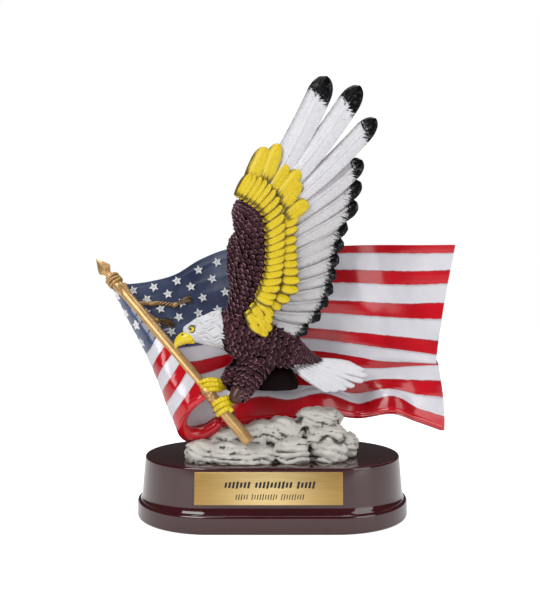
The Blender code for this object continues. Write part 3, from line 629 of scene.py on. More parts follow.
def add_name_plate():
    middle, rise, outward = plate_frame()
    lean = -math.atan2(rise.y, rise.z)
    bpy.ops.object.select_all(action="DESELECT")
    bpy.ops.mesh.primitive_cube_add(size=1.0, location=middle, rotation=(lean, 0.0, 0.0),
                                    scale=(PLATE_WIDTH, PLATE_THICKNESS, PLATE_HEIGHT))
    plate = bpy.context.object
    plate.name = "name_plate_brass"
    settle(plate)
    finish_with(plate, "BEVEL", width=0.0003, segments=3)
    smooth(plate, 50.0)
    take_place(plate, BRASS, "name_plate")
    rows = [(0.00185, 0.0472, 24, 0.00118, 0.0036, 0.22), (-0.0042, 0.0358, 26, 0.00052, 0.0031, 0.22)]
    strokes = []
    for row, (height, width, count, thick, tall, slant) in enumerate(rows):
        for number in range(count):
            if (number * 7 + row * 3) % 11 == 5:
                continue
            share = tall * (0.72 + 0.28 * (((number * 5 + row) % 4) / 3.0))
            across = width * ((number + 0.5) / count - 0.5)
            bpy.ops.object.select_all(action="DESELECT")
            bpy.ops.mesh.primitive_cube_add(size=1.0)
            stroke = bpy.context.object
            for vertex in stroke.data.vertices:
                x = across + vertex.co.x * thick + vertex.co.z * share * slant
                z = height + vertex.co.z * share
                out = PLATE_THICKNESS / 2.0 + vertex.co.y * -0.00006
                vertex.co = middle + Vector((x + 0.0006, 0.0, 0.0)) + rise * z + outward * out
            strokes.append(stroke)
    rows_of_strokes = join("name_plate_strokes", strokes)
    face_outwards(rows_of_strokes)
    return take_place(rows_of_strokes, STROKE_BLACK, "name_plate")


add_plinth()
add_name_plate()


# Pole, spear head and collar


POLE_HEAD = (-43.6, -0.5, 48.0)
POLE_FOOT = (-5.6, -17.1, 6.4)


def pole_point(share):
    """A point of the pole's axis, from its collar at 0 to its foot at 1."""
    return at(*POLE_HEAD).lerp(at(*POLE_FOOT), share)


POLE_AHEAD = (pole_point(1.0) - pole_point(0.0)).normalized()


def add_pole():
    def dents(u, v):
        return 0.00003 * noise.noise(Vector((u * 26.0, math.cos(v * 6.283) * 1.5, math.sin(v * 6.283) * 1.5)))

    shaft = add_tube("shaft", [(pole_point(-0.02), POLE_RADIUS), (pole_point(0.5), POLE_RADIUS),
                               (pole_point(1.0), POLE_RADIUS)], 90, 28, dome=0.004, relief=dents)
    lumps = []
    for share, reach, radius, side in ((0.712, 0.030, 0.0030, 0.7), (0.735, 0.020, 0.0026, -0.6)):
        start = pole_point(share - reach) + FRONT * 0.0008
        end = pole_point(share + reach) + FRONT * 0.0008 + Vector((0.0, 0.0, side * 0.0008))
        lumps.append(add_tube("lump", [(start, radius), (start.lerp(end, 0.5) + FRONT * 0.0004, radius * 1.12),
                                       (end, radius * 0.9)], 16, 16, dome=0.25))
    pole = join("pole", [shaft, *lumps])
    smooth(pole, 60.0)
    return take_place(pole, GOLD)


def add_spear():
    """A flat leaf-shaped blade on a short neck, bent from a plain grid."""
    bpy.ops.object.select_all(action="DESELECT")
    bpy.ops.mesh.primitive_grid_add(x_subdivisions=18, y_subdivisions=4, size=1.0)
    blade = bpy.context.object
    length = 0.0146
    widths = [0.44, 0.48, 0.50, 0.66, 0.96, 1.0, 0.88, 0.72, 0.55, 0.37, 0.19, 0.02]
    across = POLE_AHEAD.cross(Vector((0.0, 1.0, 0.0))).normalized()
    deep = across.cross(POLE_AHEAD)
    start = pole_point(-0.008)
    half = 0.0040
    thickness = [Vector((0.0018, 0, 0)), Vector((0.0020, 0, 0)), Vector((0.0017, 0, 0)), Vector((0.0012, 0, 0)),
                 Vector((0.0003, 0, 0))]
    wide = [Vector((width * half, 0.0, 0.0)) for width in widths]
    for vertex in blade.data.vertices:
        u, v = vertex.co.x + 0.5, vertex.co.y + 0.5
        turn = v * 2.0 * math.pi
        side = math.cos(turn)
        ridge = math.sin(turn)
        vertex.co = (start - POLE_AHEAD * length * u + across * smooth_through(wide, u).x * side
                     + deep * smooth_through(thickness, u).x * ridge)
    face_outwards(blade, merge=0.00003)
    only(blade)
    bpy.ops.object.mode_set(mode="EDIT")
    bpy.ops.mesh.select_all(action="DESELECT")
    bpy.ops.mesh.select_non_manifold()
    bpy.ops.mesh.edge_face_add()
    bpy.ops.object.mode_set(mode="OBJECT")
    blade.name = "spear_head"
    smooth(blade, 30.0)
    return take_place(blade, GOLD)


def add_rope(name, route, thickness, turns, strands=3, along=None):
    """Strands twisted round a smooth route, each a rolled sheet of its own."""
    points = [at(*point) for point in route]
    made = []
    for strand in range(strands):
        stations = []
        count = turns * 10
        for step in range(count + 1):
            share = step / count
            centre = smooth_through(points, share)
            ahead = (smooth_through(points, min(share + 0.01, 1.0)) - smooth_through(points, max(share - 0.01, 0.0)))
            ahead.normalize()
            across = ahead.cross(Vector((0.0, 1.0, 0.1))).normalized()
            deep = across.cross(ahead)
            turn = 2.0 * math.pi * (turns * share + strand / strands)
            stations.append((centre + (across * math.cos(turn) + deep * math.sin(turn)) * thickness * 0.31,
                             thickness * 0.22))
        made.append(add_tube("strand", stations, count * 2, 8, dome=0.02,
                             marks={"hollow": lambda u, v: 0.25}))
    # A near-black core along the middle: painted shade in the creases between the strands
    core_line = [(smooth_through(points, step / 24.0), thickness * 0.24) for step in range(25)]
    made.append(add_tube("core", core_line, 60, 8, dome=0.02, marks={"hollow": lambda u, v: 1.0}))
    rope = join(name, made)
    middle = KDTree(400)
    for step in range(400):
        middle.insert(smooth_through(points, step / 399.0), step)
    middle.balance()
    # Painted shade: darker towards the rope's middle line, in the creases between the strands
    hollows = []
    for vertex in rope.data.vertices:
        away = middle.find(vertex.co)[2] / thickness
        hollows.append(min(max((0.515 - away) / 0.10, 0.0), 1.0))
    rope.data.attributes["hollow"].data.foreach_set("value", hollows)
    return rope


LONG_CORD = [(-39.8, -3.0, 46.5), (-39.0, -3.0, 44.7), (-37.9, -2.8, 43.0), (-36.5, -1.0, 41.2),
             (-35.2, 1.6, 41.2), (-33.6, 2.9, 41.0), (-31.3, 3.0, 41.2), (-27.1, 3.4, 40.6)]
LONG_TASSEL = [(-27.1, 3.4, 40.6), (-24.4, 3.6, 42.0), (-22.4, 3.8, 42.7)]
SHORT_CORD = [(-41.2, -2.6, 46.2), (-39.8, -3.3, 43.4), (-38.5, -3.3, 41.8), (-36.3, -3.0, 40.6), (-34.0, 1.0, 38.2),
              (-32.1, 2.2, 36.4)]
SHORT_TASSEL = [(-32.1, 2.2, 36.4), (-29.5, 2.6, 36.2), (-26.8, 3.0, 34.9)]


def add_tassel(name, route, spread):
    """A knot and a sheaf of strands that open out towards their ends."""
    points = [at(*point) for point in route]
    made = [add_tube("knot", [(points[0].lerp(points[1], -0.25), 0.0011), (points[0].lerp(points[1], 0.10), 0.0016),
                              (points[0].lerp(points[1], 0.35), 0.0010)], 12, 12, dome=0.3,
                     marks={"hollow": lambda u, v: 0.2})]
    ahead = (points[2] - points[0]).normalized()
    across = ahead.cross(Vector((0.0, 1.0, 0.0))).normalized()
    for strand in range(11):
        turn = strand * 2.4
        out = math.sqrt((strand + 0.5) / 11.0)
        offset = (across * math.cos(turn) + Vector((0.0, 0.6, 0.0)) * math.sin(turn)) * out
        tail = 1.0 - 0.10 * (strand % 3)
        stations = [(points[0] + offset * 0.0005, 0.00030), (points[1] + offset * spread * 0.8, 0.00046),
                    (points[1].lerp(points[2], tail) + offset * spread * 1.25, 0.00036)]
        # Each strand darker along one side, as painted shade
        made.append(add_tube("strand", stations, 12, 8, dome=0.1,
                             marks={"hollow": lambda u, v: 0.25 + 0.75 * math.cos(v * math.pi) ** 2}))
    return join(name, made)


def add_cords():
    collar = []
    across = POLE_AHEAD.cross(Vector((0.0, 1.0, 0.0))).normalized()
    deep = across.cross(POLE_AHEAD)
    for ring in range(3):
        stations = []
        for step in range(25):
            turn = 2.0 * math.pi * step / 24.0
            out = (across * math.cos(turn) + deep * math.sin(turn)) * (POLE_RADIUS + 0.0007)
            wobble = 0.0003 * math.sin(turn * 2.0 + ring * 2.0)
            stations.append((pole_point(0.002 + ring * 0.0160) + POLE_AHEAD * wobble + out, 0.00075))
        collar.append(add_tube("turn", stations, 48, 10, dome=0.01, marks={"hollow": lambda u, v: 0.2}))
    pieces = [join("rope_collar", collar), add_rope("long_cord", LONG_CORD, 0.0024, 12),
              add_rope("short_cord", SHORT_CORD, 0.0024, 9), add_tassel("long_tassel", LONG_TASSEL, 0.0019),
              add_tassel("short_tassel", SHORT_TASSEL, 0.0024)]
    for piece in pieces:
        smooth(piece, 60.0)
        take_place(piece, OLD_GOLD)


add_pole()
add_spear()
add_cords()


# Flag


STRIPE = 1.0 / 13.0

# Each line down the flag: its share of the drop, its share of the pole, the loop to the left, and the part that flies
FLAG_LINES = [
    (0.0, 0.030,
     [(-42.4, -1.0, 45.9), (-43.2, 1.0, 46.2), (-41.8, 3.6, 46.4), (-39.2, 4.2, 46.5)],
     [(-33.4, 4.6, 47.3), (-27.0, 5.2, 49.2), (-20.0, 5.7, 53.5), (-11.0, 5.4, 56.6), (2.0, 4.8, 56.7), (14.0, 5.6, 56.9),
      (23.0, 6.9, 57.3), (31.5, 8.4, 57.6), (41.0, 7.4, 57.6), (51.4, 6.2, 57.6)]),
    (3.5 * STRIPE, 0.190,
     [(-36.8, -4.3, 37.8), (-38.0, -1.4, 36.6), (-36.6, 2.6, 36.7), (-33.4, 4.0, 37.4)],
     [(-28.6, 4.2, 38.8), (-23.5, 5.0, 40.2), (-17.0, 6.4, 41.6), (-8.5, 6.4, 43.4), (3.5, 6.0, 43.8), (14.0, 4.6, 44.0),
      (23.0, 4.8, 43.8), (31.0, 7.0, 43.3), (40.0, 8.2, 43.2), (49.0, 7.4, 43.6)]),
    (7 * STRIPE, 0.358,
     [(-31.3, -7.1, 29.7), (-32.9, -3.8, 27.7), (-31.4, 0.0, 27.4), (-28.6, 1.9, 28.0)],
     [(-25.0, 2.6, 28.7), (-21.0, 3.4, 29.2), (-15.0, 4.6, 30.0), (-8.0, 5.4, 31.0), (3.4, 5.6, 31.6), (13.4, 6.2, 31.0),
      (22.4, 5.4, 29.9), (30.4, 4.2, 28.8), (38.4, 4.2, 27.8), (45.7, 4.6, 26.8)]),
    (9 * STRIPE, 0.468,
     [(-28.0, -10.5, 24.4), (-29.5, -6.7, 21.1), (-28.0, -2.9, 20.0), (-24.7, -0.5, 21.2)],
     [(-20.6, 0.2, 21.4), (-16.4, 0.8, 22.4), (-11.4, 2.4, 24.0), (-5.0, 4.0, 25.2), (4.0, 4.8, 25.0), (13.4, 4.6, 24.7),
      (22.4, 4.2, 23.4), (30.6, 5.0, 23.0), (38.8, 5.6, 23.6), (46.4, 4.8, 24.0)]),
    (11 * STRIPE, 0.576,
     [(-24.4, -12.9, 18.8), (-26.8, -8.6, 15.1), (-25.5, -4.3, 12.6), (-21.6, -2.4, 14.0)],
     [(-17.6, -1.4, 15.8), (-14.2, -0.4, 17.4), (-9.6, 0.4, 18.6), (-3.6, 1.2, 18.8), (4.8, 2.0, 18.4), (14.0, 3.6, 17.8),
      (23.0, 5.4, 16.0), (31.6, 2.6, 17.3), (39.6, 4.0, 15.8), (47.5, 4.8, 15.1)]),
    (12 * STRIPE, 0.636,
     [(-22.2, -14.3, 16.7), (-25.1, -10.0, 11.7), (-22.9, -5.7, 8.4), (-18.5, -3.8, 8.8)],
     [(-14.9, -2.9, 10.8), (-12.2, -2.2, 12.6), (-8.4, -1.9, 14.6), (-3.0, -1.2, 15.8), (4.8, -0.4, 14.8), (14.0, 1.0, 16.2),
      (23.6, 4.4, 13.0), (32.4, 1.0, 15.6), (39.8, 3.2, 12.2), (47.7, 4.2, 9.7)]),
    (1.0, 0.686,
     [(-20.8, -15.2, 14.6), (-23.8, -11.0, 9.2), (-21.9, -6.7, 4.9), (-17.7, -4.8, 5.2)],
     [(-13.9, -3.9, 8.0), (-11.2, -3.3, 8.6), (-7.6, -2.7, 8.6), (-2.8, -1.9, 8.8), (4.8, -1.2, 9.6), (13.4, -0.6, 11.2),
      (23.4, 2.6, 9.6), (32.6, -0.2, 11.0), (39.6, 2.4, 8.8), (47.5, 3.8, 5.8)]),
]
FLY_END = 0.1078
FLAG_SHARES = [line[0] for line in FLAG_LINES]
FLAG_GUIDES = [[pole_point(hoist)] + [at(*point) for point in loop + fly] for _, hoist, loop, fly in FLAG_LINES]


def flag_point(along, drop):
    """A point of the flag's middle surface: along from the pole to the fly, drop from its top to its hem."""
    above = max(index for index, share in enumerate(FLAG_SHARES[:-1]) if share <= drop)
    within = (drop - FLAG_SHARES[above]) / (FLAG_SHARES[above + 1] - FLAG_SHARES[above])
    places = [smooth_through(line, along) for line in FLAG_GUIDES]
    return smooth_through(places, (above + within) / (len(places) - 1))


def add_flag():
    flag = add_sheet("flag_enamel", 190, 91, flag_point)
    finish_with(flag, "SOLIDIFY", thickness=FLAG_THICKNESS, offset=0.0)
    finish_with(flag, "BEVEL", width=0.0011, segments=3, limit_method="ANGLE", angle_limit=math.radians(50.0))
    face_outwards(flag)
    drops = [0.0] * len(flag.data.vertices)
    layer = flag.data.uv_layers[0].data
    for loop in flag.data.loops:
        drops[loop.vertex_index] = layer[loop.index].uv.y * 13.0
    normals = [vertex.normal.copy() for vertex in flag.data.vertices]
    for vertex, normal, drop in zip(flag.data.vertices, normals, drops):
        gap = min(abs(drop - stop) for stop in STRIPE_BREAKS)
        vertex.co -= normal * 0.00028 * max(1.0 - gap / 0.16, 0.0)
        vertex.co.x = min(vertex.co.x, FLY_END)
    smooth(flag, 70.0)
    return take_place(flag, ENAMEL)


# The thick rolled hem round the loop's mouth: points and radii
HEM_LIP = [((-16.9, -16.4, 17.9), 0.95), ((-19.8, -15.6, 16.0), 1.1), ((-22.3, -13.4, 12.9), 1.15), ((-23.2, -11.4, 9.8), 1.35),
           ((-21.7, -9.2, 7.5), 1.65), ((-18.7, -7.8, 7.0), 1.7), ((-15.9, -7.2, 8.2), 1.65), ((-13.9, -7.0, 10.0), 1.35)]


def add_hem_lips():
    """The roll round the loop's mouth and the rounded hem under the part that flies."""
    mouth = add_tube("mouth", scaled(HEM_LIP), 90, 32, depth_share=0.9, dome=0.07)
    hem = [(flag_point(0.36 + 0.638 * step / 40.0, 0.978), 0.0022) for step in range(41)]
    under = add_tube("under", hem, 160, 20, dome=0.008)
    lips = join("flag_hem_lips", [mouth, under])
    for vertex in lips.data.vertices:
        vertex.co.x = min(vertex.co.x, FLY_END)
    smooth(lips, 60.0)
    return take_place(lips, HEM_RED)


def raised_star(size):
    """One five-pointed star: a disc drawn into points, raised, and sunk a little inside its rim."""
    bpy.ops.object.select_all(action="DESELECT")
    bpy.ops.mesh.primitive_circle_add(vertices=10, radius=size, fill_type="NGON")
    star = bpy.context.object
    for index, vertex in enumerate(star.data.vertices):
        vertex.co *= 1.0 if index % 2 == 0 else 0.47
    bpy.ops.object.mode_set(mode="EDIT")
    bpy.ops.mesh.select_all(action="SELECT")
    bpy.ops.mesh.extrude_region_move(TRANSFORM_OT_translate={"value": (0.0, 0.0, 0.0009)})
    bpy.ops.mesh.inset(thickness=size * 0.10, depth=0.00012)
    bpy.ops.mesh.inset(thickness=size * 0.14, depth=-0.00022)
    bpy.ops.object.mode_set(mode="OBJECT")
    face_outwards(star)
    layer = star.data.attributes.new("middle", "FLOAT", "POINT")
    layer.data.foreach_set("value", [1.0 - min(vertex.co.xy.length / (size * 0.55), 1.0) for vertex in star.data.vertices])
    return star


STAR_ROWS = [(0.95, (0.274, 0.351, 0.425, 0.488, 0.535, 0.578, 0.610)), (1.95, (0.308, 0.381, 0.455, 0.515, 0.559, 0.596)),
             (3.05, (0.270, 0.334, 0.410, 0.478, 0.538, 0.585)), (4.25, (0.294, 0.385, 0.455, 0.512, 0.555, 0.598)),
             (5.35, (0.338, 0.415, 0.480, 0.532, 0.580)), (6.40, (0.300, 0.388, 0.455, 0.515, 0.562, 0.606)),
             (1.3, (0.090,)), (2.9, (0.105,)), (4.4, (0.075,)), (5.9, (0.110,))]


def add_stars():
    pattern = raised_star(0.00295)
    made = []
    for number, (drop, places) in enumerate(STAR_ROWS):
        for spot, along in enumerate(places):
            here = flag_point(along, drop * STRIPE)
            ahead = (flag_point(along + 0.01, drop * STRIPE) - here).normalized()
            down = (flag_point(along, (drop + 0.2) * STRIPE) - here).normalized()
            out = ahead.cross(down).normalized()
            if along > 0.22 and out.y > 0.0:
                out = -out
            if along <= 0.22:
                out = -out if out.dot(Vector((-0.5, -1.0, 0.0))) < 0.0 else out
            lean = math.radians(12.0 * math.sin(number * 2.1 + spot * 1.7))
            up = Vector((0.0, 0.0, 1.0))
            up = (up - out * up.dot(out)).normalized()
            side = up.cross(out).normalized()
            turned = Matrix.Rotation(lean, 4, out)
            basis = Matrix((side, up, out)).transposed().to_4x4()
            star = pattern.copy()
            star.data = pattern.data.copy()
            bpy.context.collection.objects.link(star)
            place = Matrix.Translation(here + out * (FLAG_THICKNESS / 2.0 - 0.00025))
            star.data.transform(place @ turned @ basis @ Matrix.Rotation(math.radians(90.0), 4, "Z"))
            made.append(star)
    bpy.data.objects.remove(pattern)
    stars = join("flag_stars", made)
    return take_place(stars, STAR_WHITE)


add_flag()
add_hem_lips()
add_stars()


# Rock


BOULDERS = [
    ((-17.0, -9.6, 2.0), (6.4, 5.4, 4.0), 0.12),
    ((-7.4, -11.6, 2.2), (10.2, 5.4, 3.9), 0.06),
    ((-8.6, -7.4, 5.0), (7.6, 5.4, 4.2), -0.16),
    ((-2.6, -5.6, 7.2), (5.4, 4.8, 3.6), -0.10),
    ((-15.0, -4.0, 3.4), (6.4, 6.0, 4.4), 0.2),
    ((5.2, -11.0, 2.9), (5.2, 5.0, 4.2), 0.05),
    ((3.4, -5.2, 6.4), (5.6, 5.6, 5.2), 0.2),
    ((12.6, -3.4, 10.4), (6.4, 5.6, 3.5), 0.05),
    ((14.0, -6.6, 6.6), (6.2, 5.4, 2.9), -0.05),
    ((14.8, -9.6, 2.6), (5.2, 4.8, 3.4), 0.05),
    ((19.8, -4.6, 3.4), (3.4, 5.0, 3.8), 0.0),
    ((-8.0, 3.0, 3.6), (9.4, 6.0, 7.0), 0.15),
    ((8.0, 3.6, 4.2), (10.4, 6.2, 8.0), -0.1),
    ((0.0, -2.0, 1.6), (19.0, 9.0, 3.0), 0.0),
]
BOXINESS = 0.72


def add_rock():
    """Boulders run into one skin, laid in uneven ledges and worn by small dents."""
    made = []
    for number, (centre, radii, turn) in enumerate(BOULDERS):
        bpy.ops.object.select_all(action="DESELECT")
        size = [radius * HUNDREDTH * 0.97 for radius in radii]
        bpy.ops.mesh.primitive_ico_sphere_add(subdivisions=4, radius=1.0, location=at(*centre), rotation=(0.0, turn, 0.0))
        lump = bpy.context.object
        for vertex in lump.data.vertices:
            shift = Vector((number * 3.7, number * 1.9, 0.0))
            wave = noise.noise(vertex.co * 1.2 + shift) * 0.20 + noise.noise(vertex.co * 2.7 + shift) * 0.08
            boxy = Vector([math.copysign(abs(part) ** BOXINESS, part) for part in vertex.co])
            vertex.co = Vector([part * reach for part, reach in zip(boxy * 0.90 * (1.0 + wave), size)])
        settle(lump)
        made.append(lump)
    rock = one_skin("rock", made, 0.0008, soften=3)
    strokes = []
    normals = [vertex.normal.copy() for vertex in rock.data.vertices]
    for vertex, normal in zip(rock.data.vertices, normals):
        place = vertex.co
        bend = noise.noise(place * 60.0) * 0.0034 + noise.noise(place * 150.0) * 0.0012
        ledge = (place.z + bend * 1.3 + 0.12 * place.x) / 0.0041
        step = abs((ledge % 1.0) - 0.5) * 2.0
        side_on = 1.0 - abs(normal.z)
        facets = noise.voronoi(Vector((place.x, place.y, place.z * 1.7)) * 105.0 + noise.noise_vector(place * 110.0) * 0.7)[0]
        dent = min((facets[1] - facets[0]) * 1.4, 0.55)
        grain = noise.fractal(place * 700.0, 1.0, 2.0, 3)
        push = 0.0019 * side_on * (min(step * 1.9, 1.0) - 0.85) + 0.0013 * (dent - 0.35) + 0.00016 * grain
        vertex.co += normal * push
        swirl = noise.noise_vector(place * 90.0) * 1.2
        dash = noise.noise(Vector((place.x * 300.0, place.y * 300.0, place.z * 1500.0)) + swirl * 2.0)
        patch = noise.noise(place * 130.0 + Vector((3.0, 7.0, 1.0)))
        strokes.append(max(dash - 0.12, 0.0) * 3.4 * max(0.35 + patch, 0.0))
    # The hollow mark: painted shade in the crevices, plus fine dark dashes of paint
    mark_hollows(rock, 16, 800.0, extra=strokes)
    cut_below(rock, PLINTH_HEIGHT + 0.00005)
    smooth(rock, 60.0)
    return take_place(rock, STONE)


add_rock()


# Eagle: body, legs and arms under the plumage


BODY = [((-16.4, -10.8, 34.3), 3.1), ((-14.2, -10.5, 34.3), 4.0), ((-12.2, -10.2, 34.0), 4.7), ((-8.4, -9.3, 32.9), 5.5),
        ((-4.5, -8.1, 31.5), 6.0), ((-0.1, -7.0, 30.4), 5.7), ((4.6, -6.0, 28.4), 4.1), ((7.8, -5.4, 27.0), 2.7),
        ((10.6, -5.0, 26.1), 1.4), ((13.0, -4.8, 25.8), 0.5)]
NEAR_LEG = [((-2.4, -8.2, 28.4), 4.2), ((-4.0, -9.2, 25.3), 3.6), ((-6.2, -10.7, 21.6), 2.95), ((-7.8, -12.2, 18.8), 2.35),
            ((-8.5, -13.0, 16.9), 1.7)]
LEG_GAP = [((-6.6, -7.4, 25.0), 2.4), ((-9.0, -8.8, 21.6), 1.9), ((-11.4, -10.2, 18.6), 1.25)]
FAR_LEG = [((-4.6, -5.6, 28.6), 3.6), ((-7.2, -6.9, 25.8), 2.6), ((-10.4, -8.6, 22.4), 2.0), ((-12.4, -10.0, 20.0), 1.4)]
BELLY = [((-4.2, -7.4, 21.4), 2.6), ((-1.6, -5.6, 20.6), 3.9), ((1.4, -4.0, 20.0), 4.9), ((3.8, -3.0, 19.6), 4.4),
         ((5.6, -2.4, 19.2), 2.6), ((6.8, -2.0, 18.9), 1.3)]
NEAR_ARM = [((-9.2, -10.8, 34.6), 3.2), ((-7.6, -12.4, 40.0), 3.7), ((-6.0, -13.4, 46.6), 4.0), ((-4.8, -13.6, 54.0), 4.0),
            ((-5.6, -13.4, 61.0), 3.9), ((-6.6, -13.2, 65.6), 3.6), ((-8.2, -13.0, 67.6), 2.4)]
FAR_ARM = [((-5.0, -3.6, 34.0), 3.0), ((-6.6, -0.2, 40.0), 3.4), ((-8.0, 1.8, 46.6), 3.4), ((-8.9, 3.6, 52.6), 3.3),
           ((-8.8, 5.4, 57.4), 3.1), ((-8.0, 6.8, 60.4), 2.1)]


def add_core():
    """The plain forms that carry the scales, run together as the sculptor's clay would be."""
    tubes = [add_tube("body", scaled(BODY), 44, 28, depth_share=0.88, dome=0.03),
             add_tube("near_leg", scaled(NEAR_LEG)),
             add_tube("far_leg", scaled(FAR_LEG)), add_tube("near_arm", scaled(NEAR_ARM), depth_share=0.60),
             add_tube("far_arm", scaled(FAR_ARM), depth_share=0.78)]
    core = one_skin("body_under_plumage", tubes, 0.0009, soften=3)
    smooth(core, 60.0)
    # Its near-black, seen in the gaps between the scales, stands in as painted shade
    return take_place(core, UNDER_BLACK_AND_SHADE)


HEAD_BACK = -12.7 * HUNDREDTH
CROWN_HEIGHT = at(0.0, 0.0, 34.0).z
THROAT_HEIGHT = at(0.0, 0.0, 28.0).z


def neck_edge(height):
    """Where the head's white ends and the brown begins: further back towards the throat."""
    return HEAD_BACK + 0.26 * (CROWN_HEIGHT - height)


def scale_pattern():
    """One shingle of plumage, root at the origin and tip along +X: dished, with a thick rounded rim."""
    def place(u, v):
        side = 2.0 * v - 1.0
        half = 0.50 * (1.0 - 0.16 * u ** 4) * (0.72 + 0.28 * min(u * 2.5, 1.0))
        x = 1.30 * u * (1.0 - 0.30 * side ** 2 * u)
        rim = 0.13 * max(max(abs(side), u) - 0.62, 0.0) / 0.38
        return Vector((x, side * half, 0.02 + 0.12 * (1.0 - side ** 2) + 0.34 * u ** 1.4 + rim))

    # The rim mark: high along the tip's rim for its painted highlight, low at the root for its painted shade
    def rim(u, v):
        side = abs(2.0 * v - 1.0)
        if u < 0.35:
            return 0.0
        if u > 0.9:
            return 1.0 - 0.25 * side
        return 0.70 if side > 0.9 else 0.46

    shingle = add_sheet("shingle", 5, 5, place, marks={"rim": rim})
    finish_with(shingle, "SOLIDIFY", thickness=0.22, offset=-1.0)
    face_outwards(shingle)
    return shingle


def lay_plumage(name, core, runs):
    """Copies of one shingle in staggered rows round each tube, dropped onto the skin under them."""
    skin = BVHTree.FromObject(core, bpy.context.evaluated_depsgraph_get())
    pattern = scale_pattern()
    points = [vertex.co.copy() for vertex in pattern.data.vertices]
    faces = [tuple(polygon.vertices) for polygon in pattern.data.polygons]
    rims = [item.value for item in pattern.data.attributes["rim"].data]
    bpy.data.objects.remove(pattern)
    all_points = []
    all_faces = []
    all_rims = []
    shades = []
    for stations, first, last, pitch, size, flow, depth_share in runs:
        centres = [point for point, _ in stations]
        radii = [Vector((radius, 0.0, 0.0)) for _, radius in stations]
        length = sum((second - start).length for start, second in zip(centres, centres[1:]))
        rows = max(int(length * (last - first) / pitch), 1)
        for row in range(rows):
            share = first + (last - first) * (row + 0.5) / rows
            centre = smooth_through(centres, share)
            ahead = smooth_through(centres, min(share + 0.02, 1.0)) - smooth_through(centres, max(share - 0.02, 0.0))
            ahead.normalize()
            across = ahead.cross(Vector((0.0, 1.0, 0.0))).normalized()
            deep = across.cross(ahead)
            radius = smooth_through(radii, share).x
            count = max(int(math.pi * radius * (1.0 + depth_share) / size), 5)
            for spot in range(count):
                jitter = noise.noise(Vector((row * 1.7, spot * 2.3, radius * 900.0)))
                turn = 2.0 * math.pi * (spot + 0.5 * (row % 2) + 0.34 * jitter) / count
                outward = across * math.cos(turn) + deep * depth_share * math.sin(turn)
                outward.normalize()
                hit, normal, _, distance = skin.ray_cast(centre, outward)
                if hit is None or distance > radius * 1.30 + 0.0006:
                    continue
                if hit.z > THROAT_HEIGHT and neck_edge(hit.z) > hit.x:
                    continue
                if skin.ray_cast(hit + outward * 0.0006, outward)[0] is not None:
                    continue
                tip = ahead * flow[3] + Vector(flow[:3])
                tip = (tip - normal * tip.dot(normal)).normalized()
                swing = Matrix.Rotation(0.75 * noise.noise(hit * 260.0) + 0.3 * jitter, 3, normal)
                tip = swing @ tip
                side = normal.cross(tip).normalized()
                scale = size * (1.05 + 0.30 * noise.noise(Vector((spot * 3.1, row * 1.3, 4.0))))
                sink = 0.08 + 0.10 * noise.noise(Vector((spot * 1.1, row * 2.9, 9.0)))
                start = hit - tip * scale * 0.6 - normal * scale * sink
                base = len(all_points)
                all_points += [start + tip * p.x * scale + side * p.y * scale + normal * p.z * scale for p in points]
                all_faces += [tuple(base + index for index in face) for face in faces]
                all_rims += rims
                shades += [0.5 + 0.5 * noise.noise(Vector((spot * 0.9, row * 0.7, radius * 300.0)))] * len(points)
    mesh = bpy.data.meshes.new(name)
    mesh.from_pydata(all_points, [], all_faces)
    for mark, values in (("rim", all_rims), ("shade", shades)):
        mesh.attributes.new(mark, "FLOAT", "POINT").data.foreach_set("value", values)
    piece = bpy.data.objects.new(name, mesh)
    bpy.context.collection.objects.link(piece)
    smooth(piece, 50.0)
    return take_place(piece, PLUMAGE)


core = add_core()
lay_plumage("body_plumage", core, [
    (scaled(BODY), 0.13, 0.68, 0.0024, 0.0030, (0.3, 0.0, 0.0, 1.0), 0.88),
    (scaled(BODY), 0.68, 0.99, 0.0016, 0.0019, (0.3, 0.0, 0.0, 1.0), 0.88),
    (scaled(NEAR_LEG), 0.20, 0.96, 0.0023, 0.0026, (0.0, 0.0, -0.3, 1.0), 1.0),
    (scaled(FAR_LEG), 0.20, 0.98, 0.0022, 0.0025, (0.0, 0.0, -0.3, 1.0), 1.0)])
lay_plumage("near_arm_plumage", core, [
    (scaled(NEAR_ARM), 0.04, 0.98, 0.0021, 0.0024, (0.7, 0.0, 0.0, 0.8), 0.60)])
lay_plumage("far_arm_plumage", core, [
    (scaled(FAR_ARM), 0.06, 0.98, 0.0023, 0.0026, (0.7, 0.0, 0.0, 0.8), 0.78)])


# Head, bill and eyes


HEAD = [((-22.9, -11.6, 34.0), 0.8), ((-21.7, -11.6, 34.1), 1.75), ((-20.2, -11.5, 34.1), 2.65), ((-18.5, -11.3, 34.2), 3.35),
        ((-16.4, -11.0, 34.3), 4.05), ((-14.1, -10.4, 34.4), 4.75), ((-11.9, -9.6, 34.2), 5.2), ((-9.6, -9.0, 33.6), 5.0)]
BILL = [((-20.0, -12.0, 32.3), 1.15), ((-21.1, -11.9, 32.4), 1.5), ((-22.3, -11.7, 32.3), 1.6), ((-23.4, -11.6, 31.8), 1.45),
        ((-24.2, -11.6, 31.0), 1.1), ((-24.6, -11.6, 30.4), 0.66), ((-24.75, -11.6, 29.9), 0.36), ((-24.7, -11.6, 29.5), 0.1)]
UNDER_BILL = [((-19.8, -11.7, 31.6), 0.66), ((-21.0, -11.6, 31.3), 0.60), ((-22.6, -11.6, 31.2), 0.28)]


def lock_height(u, v):
    """Wavy locks that run back along the head, finer towards the face."""
    sway = 1.5 * math.sin(u * 19.0 + 3.0 * math.sin(v * 12.6)) + 0.8 * math.sin(u * 37.0 + v * 25.0)
    wave = 1.0 - 2.0 * abs(math.sin(v * math.pi * 23.0 + sway)) ** 0.8
    split = math.sin(v * 2.0 * math.pi * 9.0 + u * 34.0 + sway)
    return wave * 0.65 - 0.35 * split


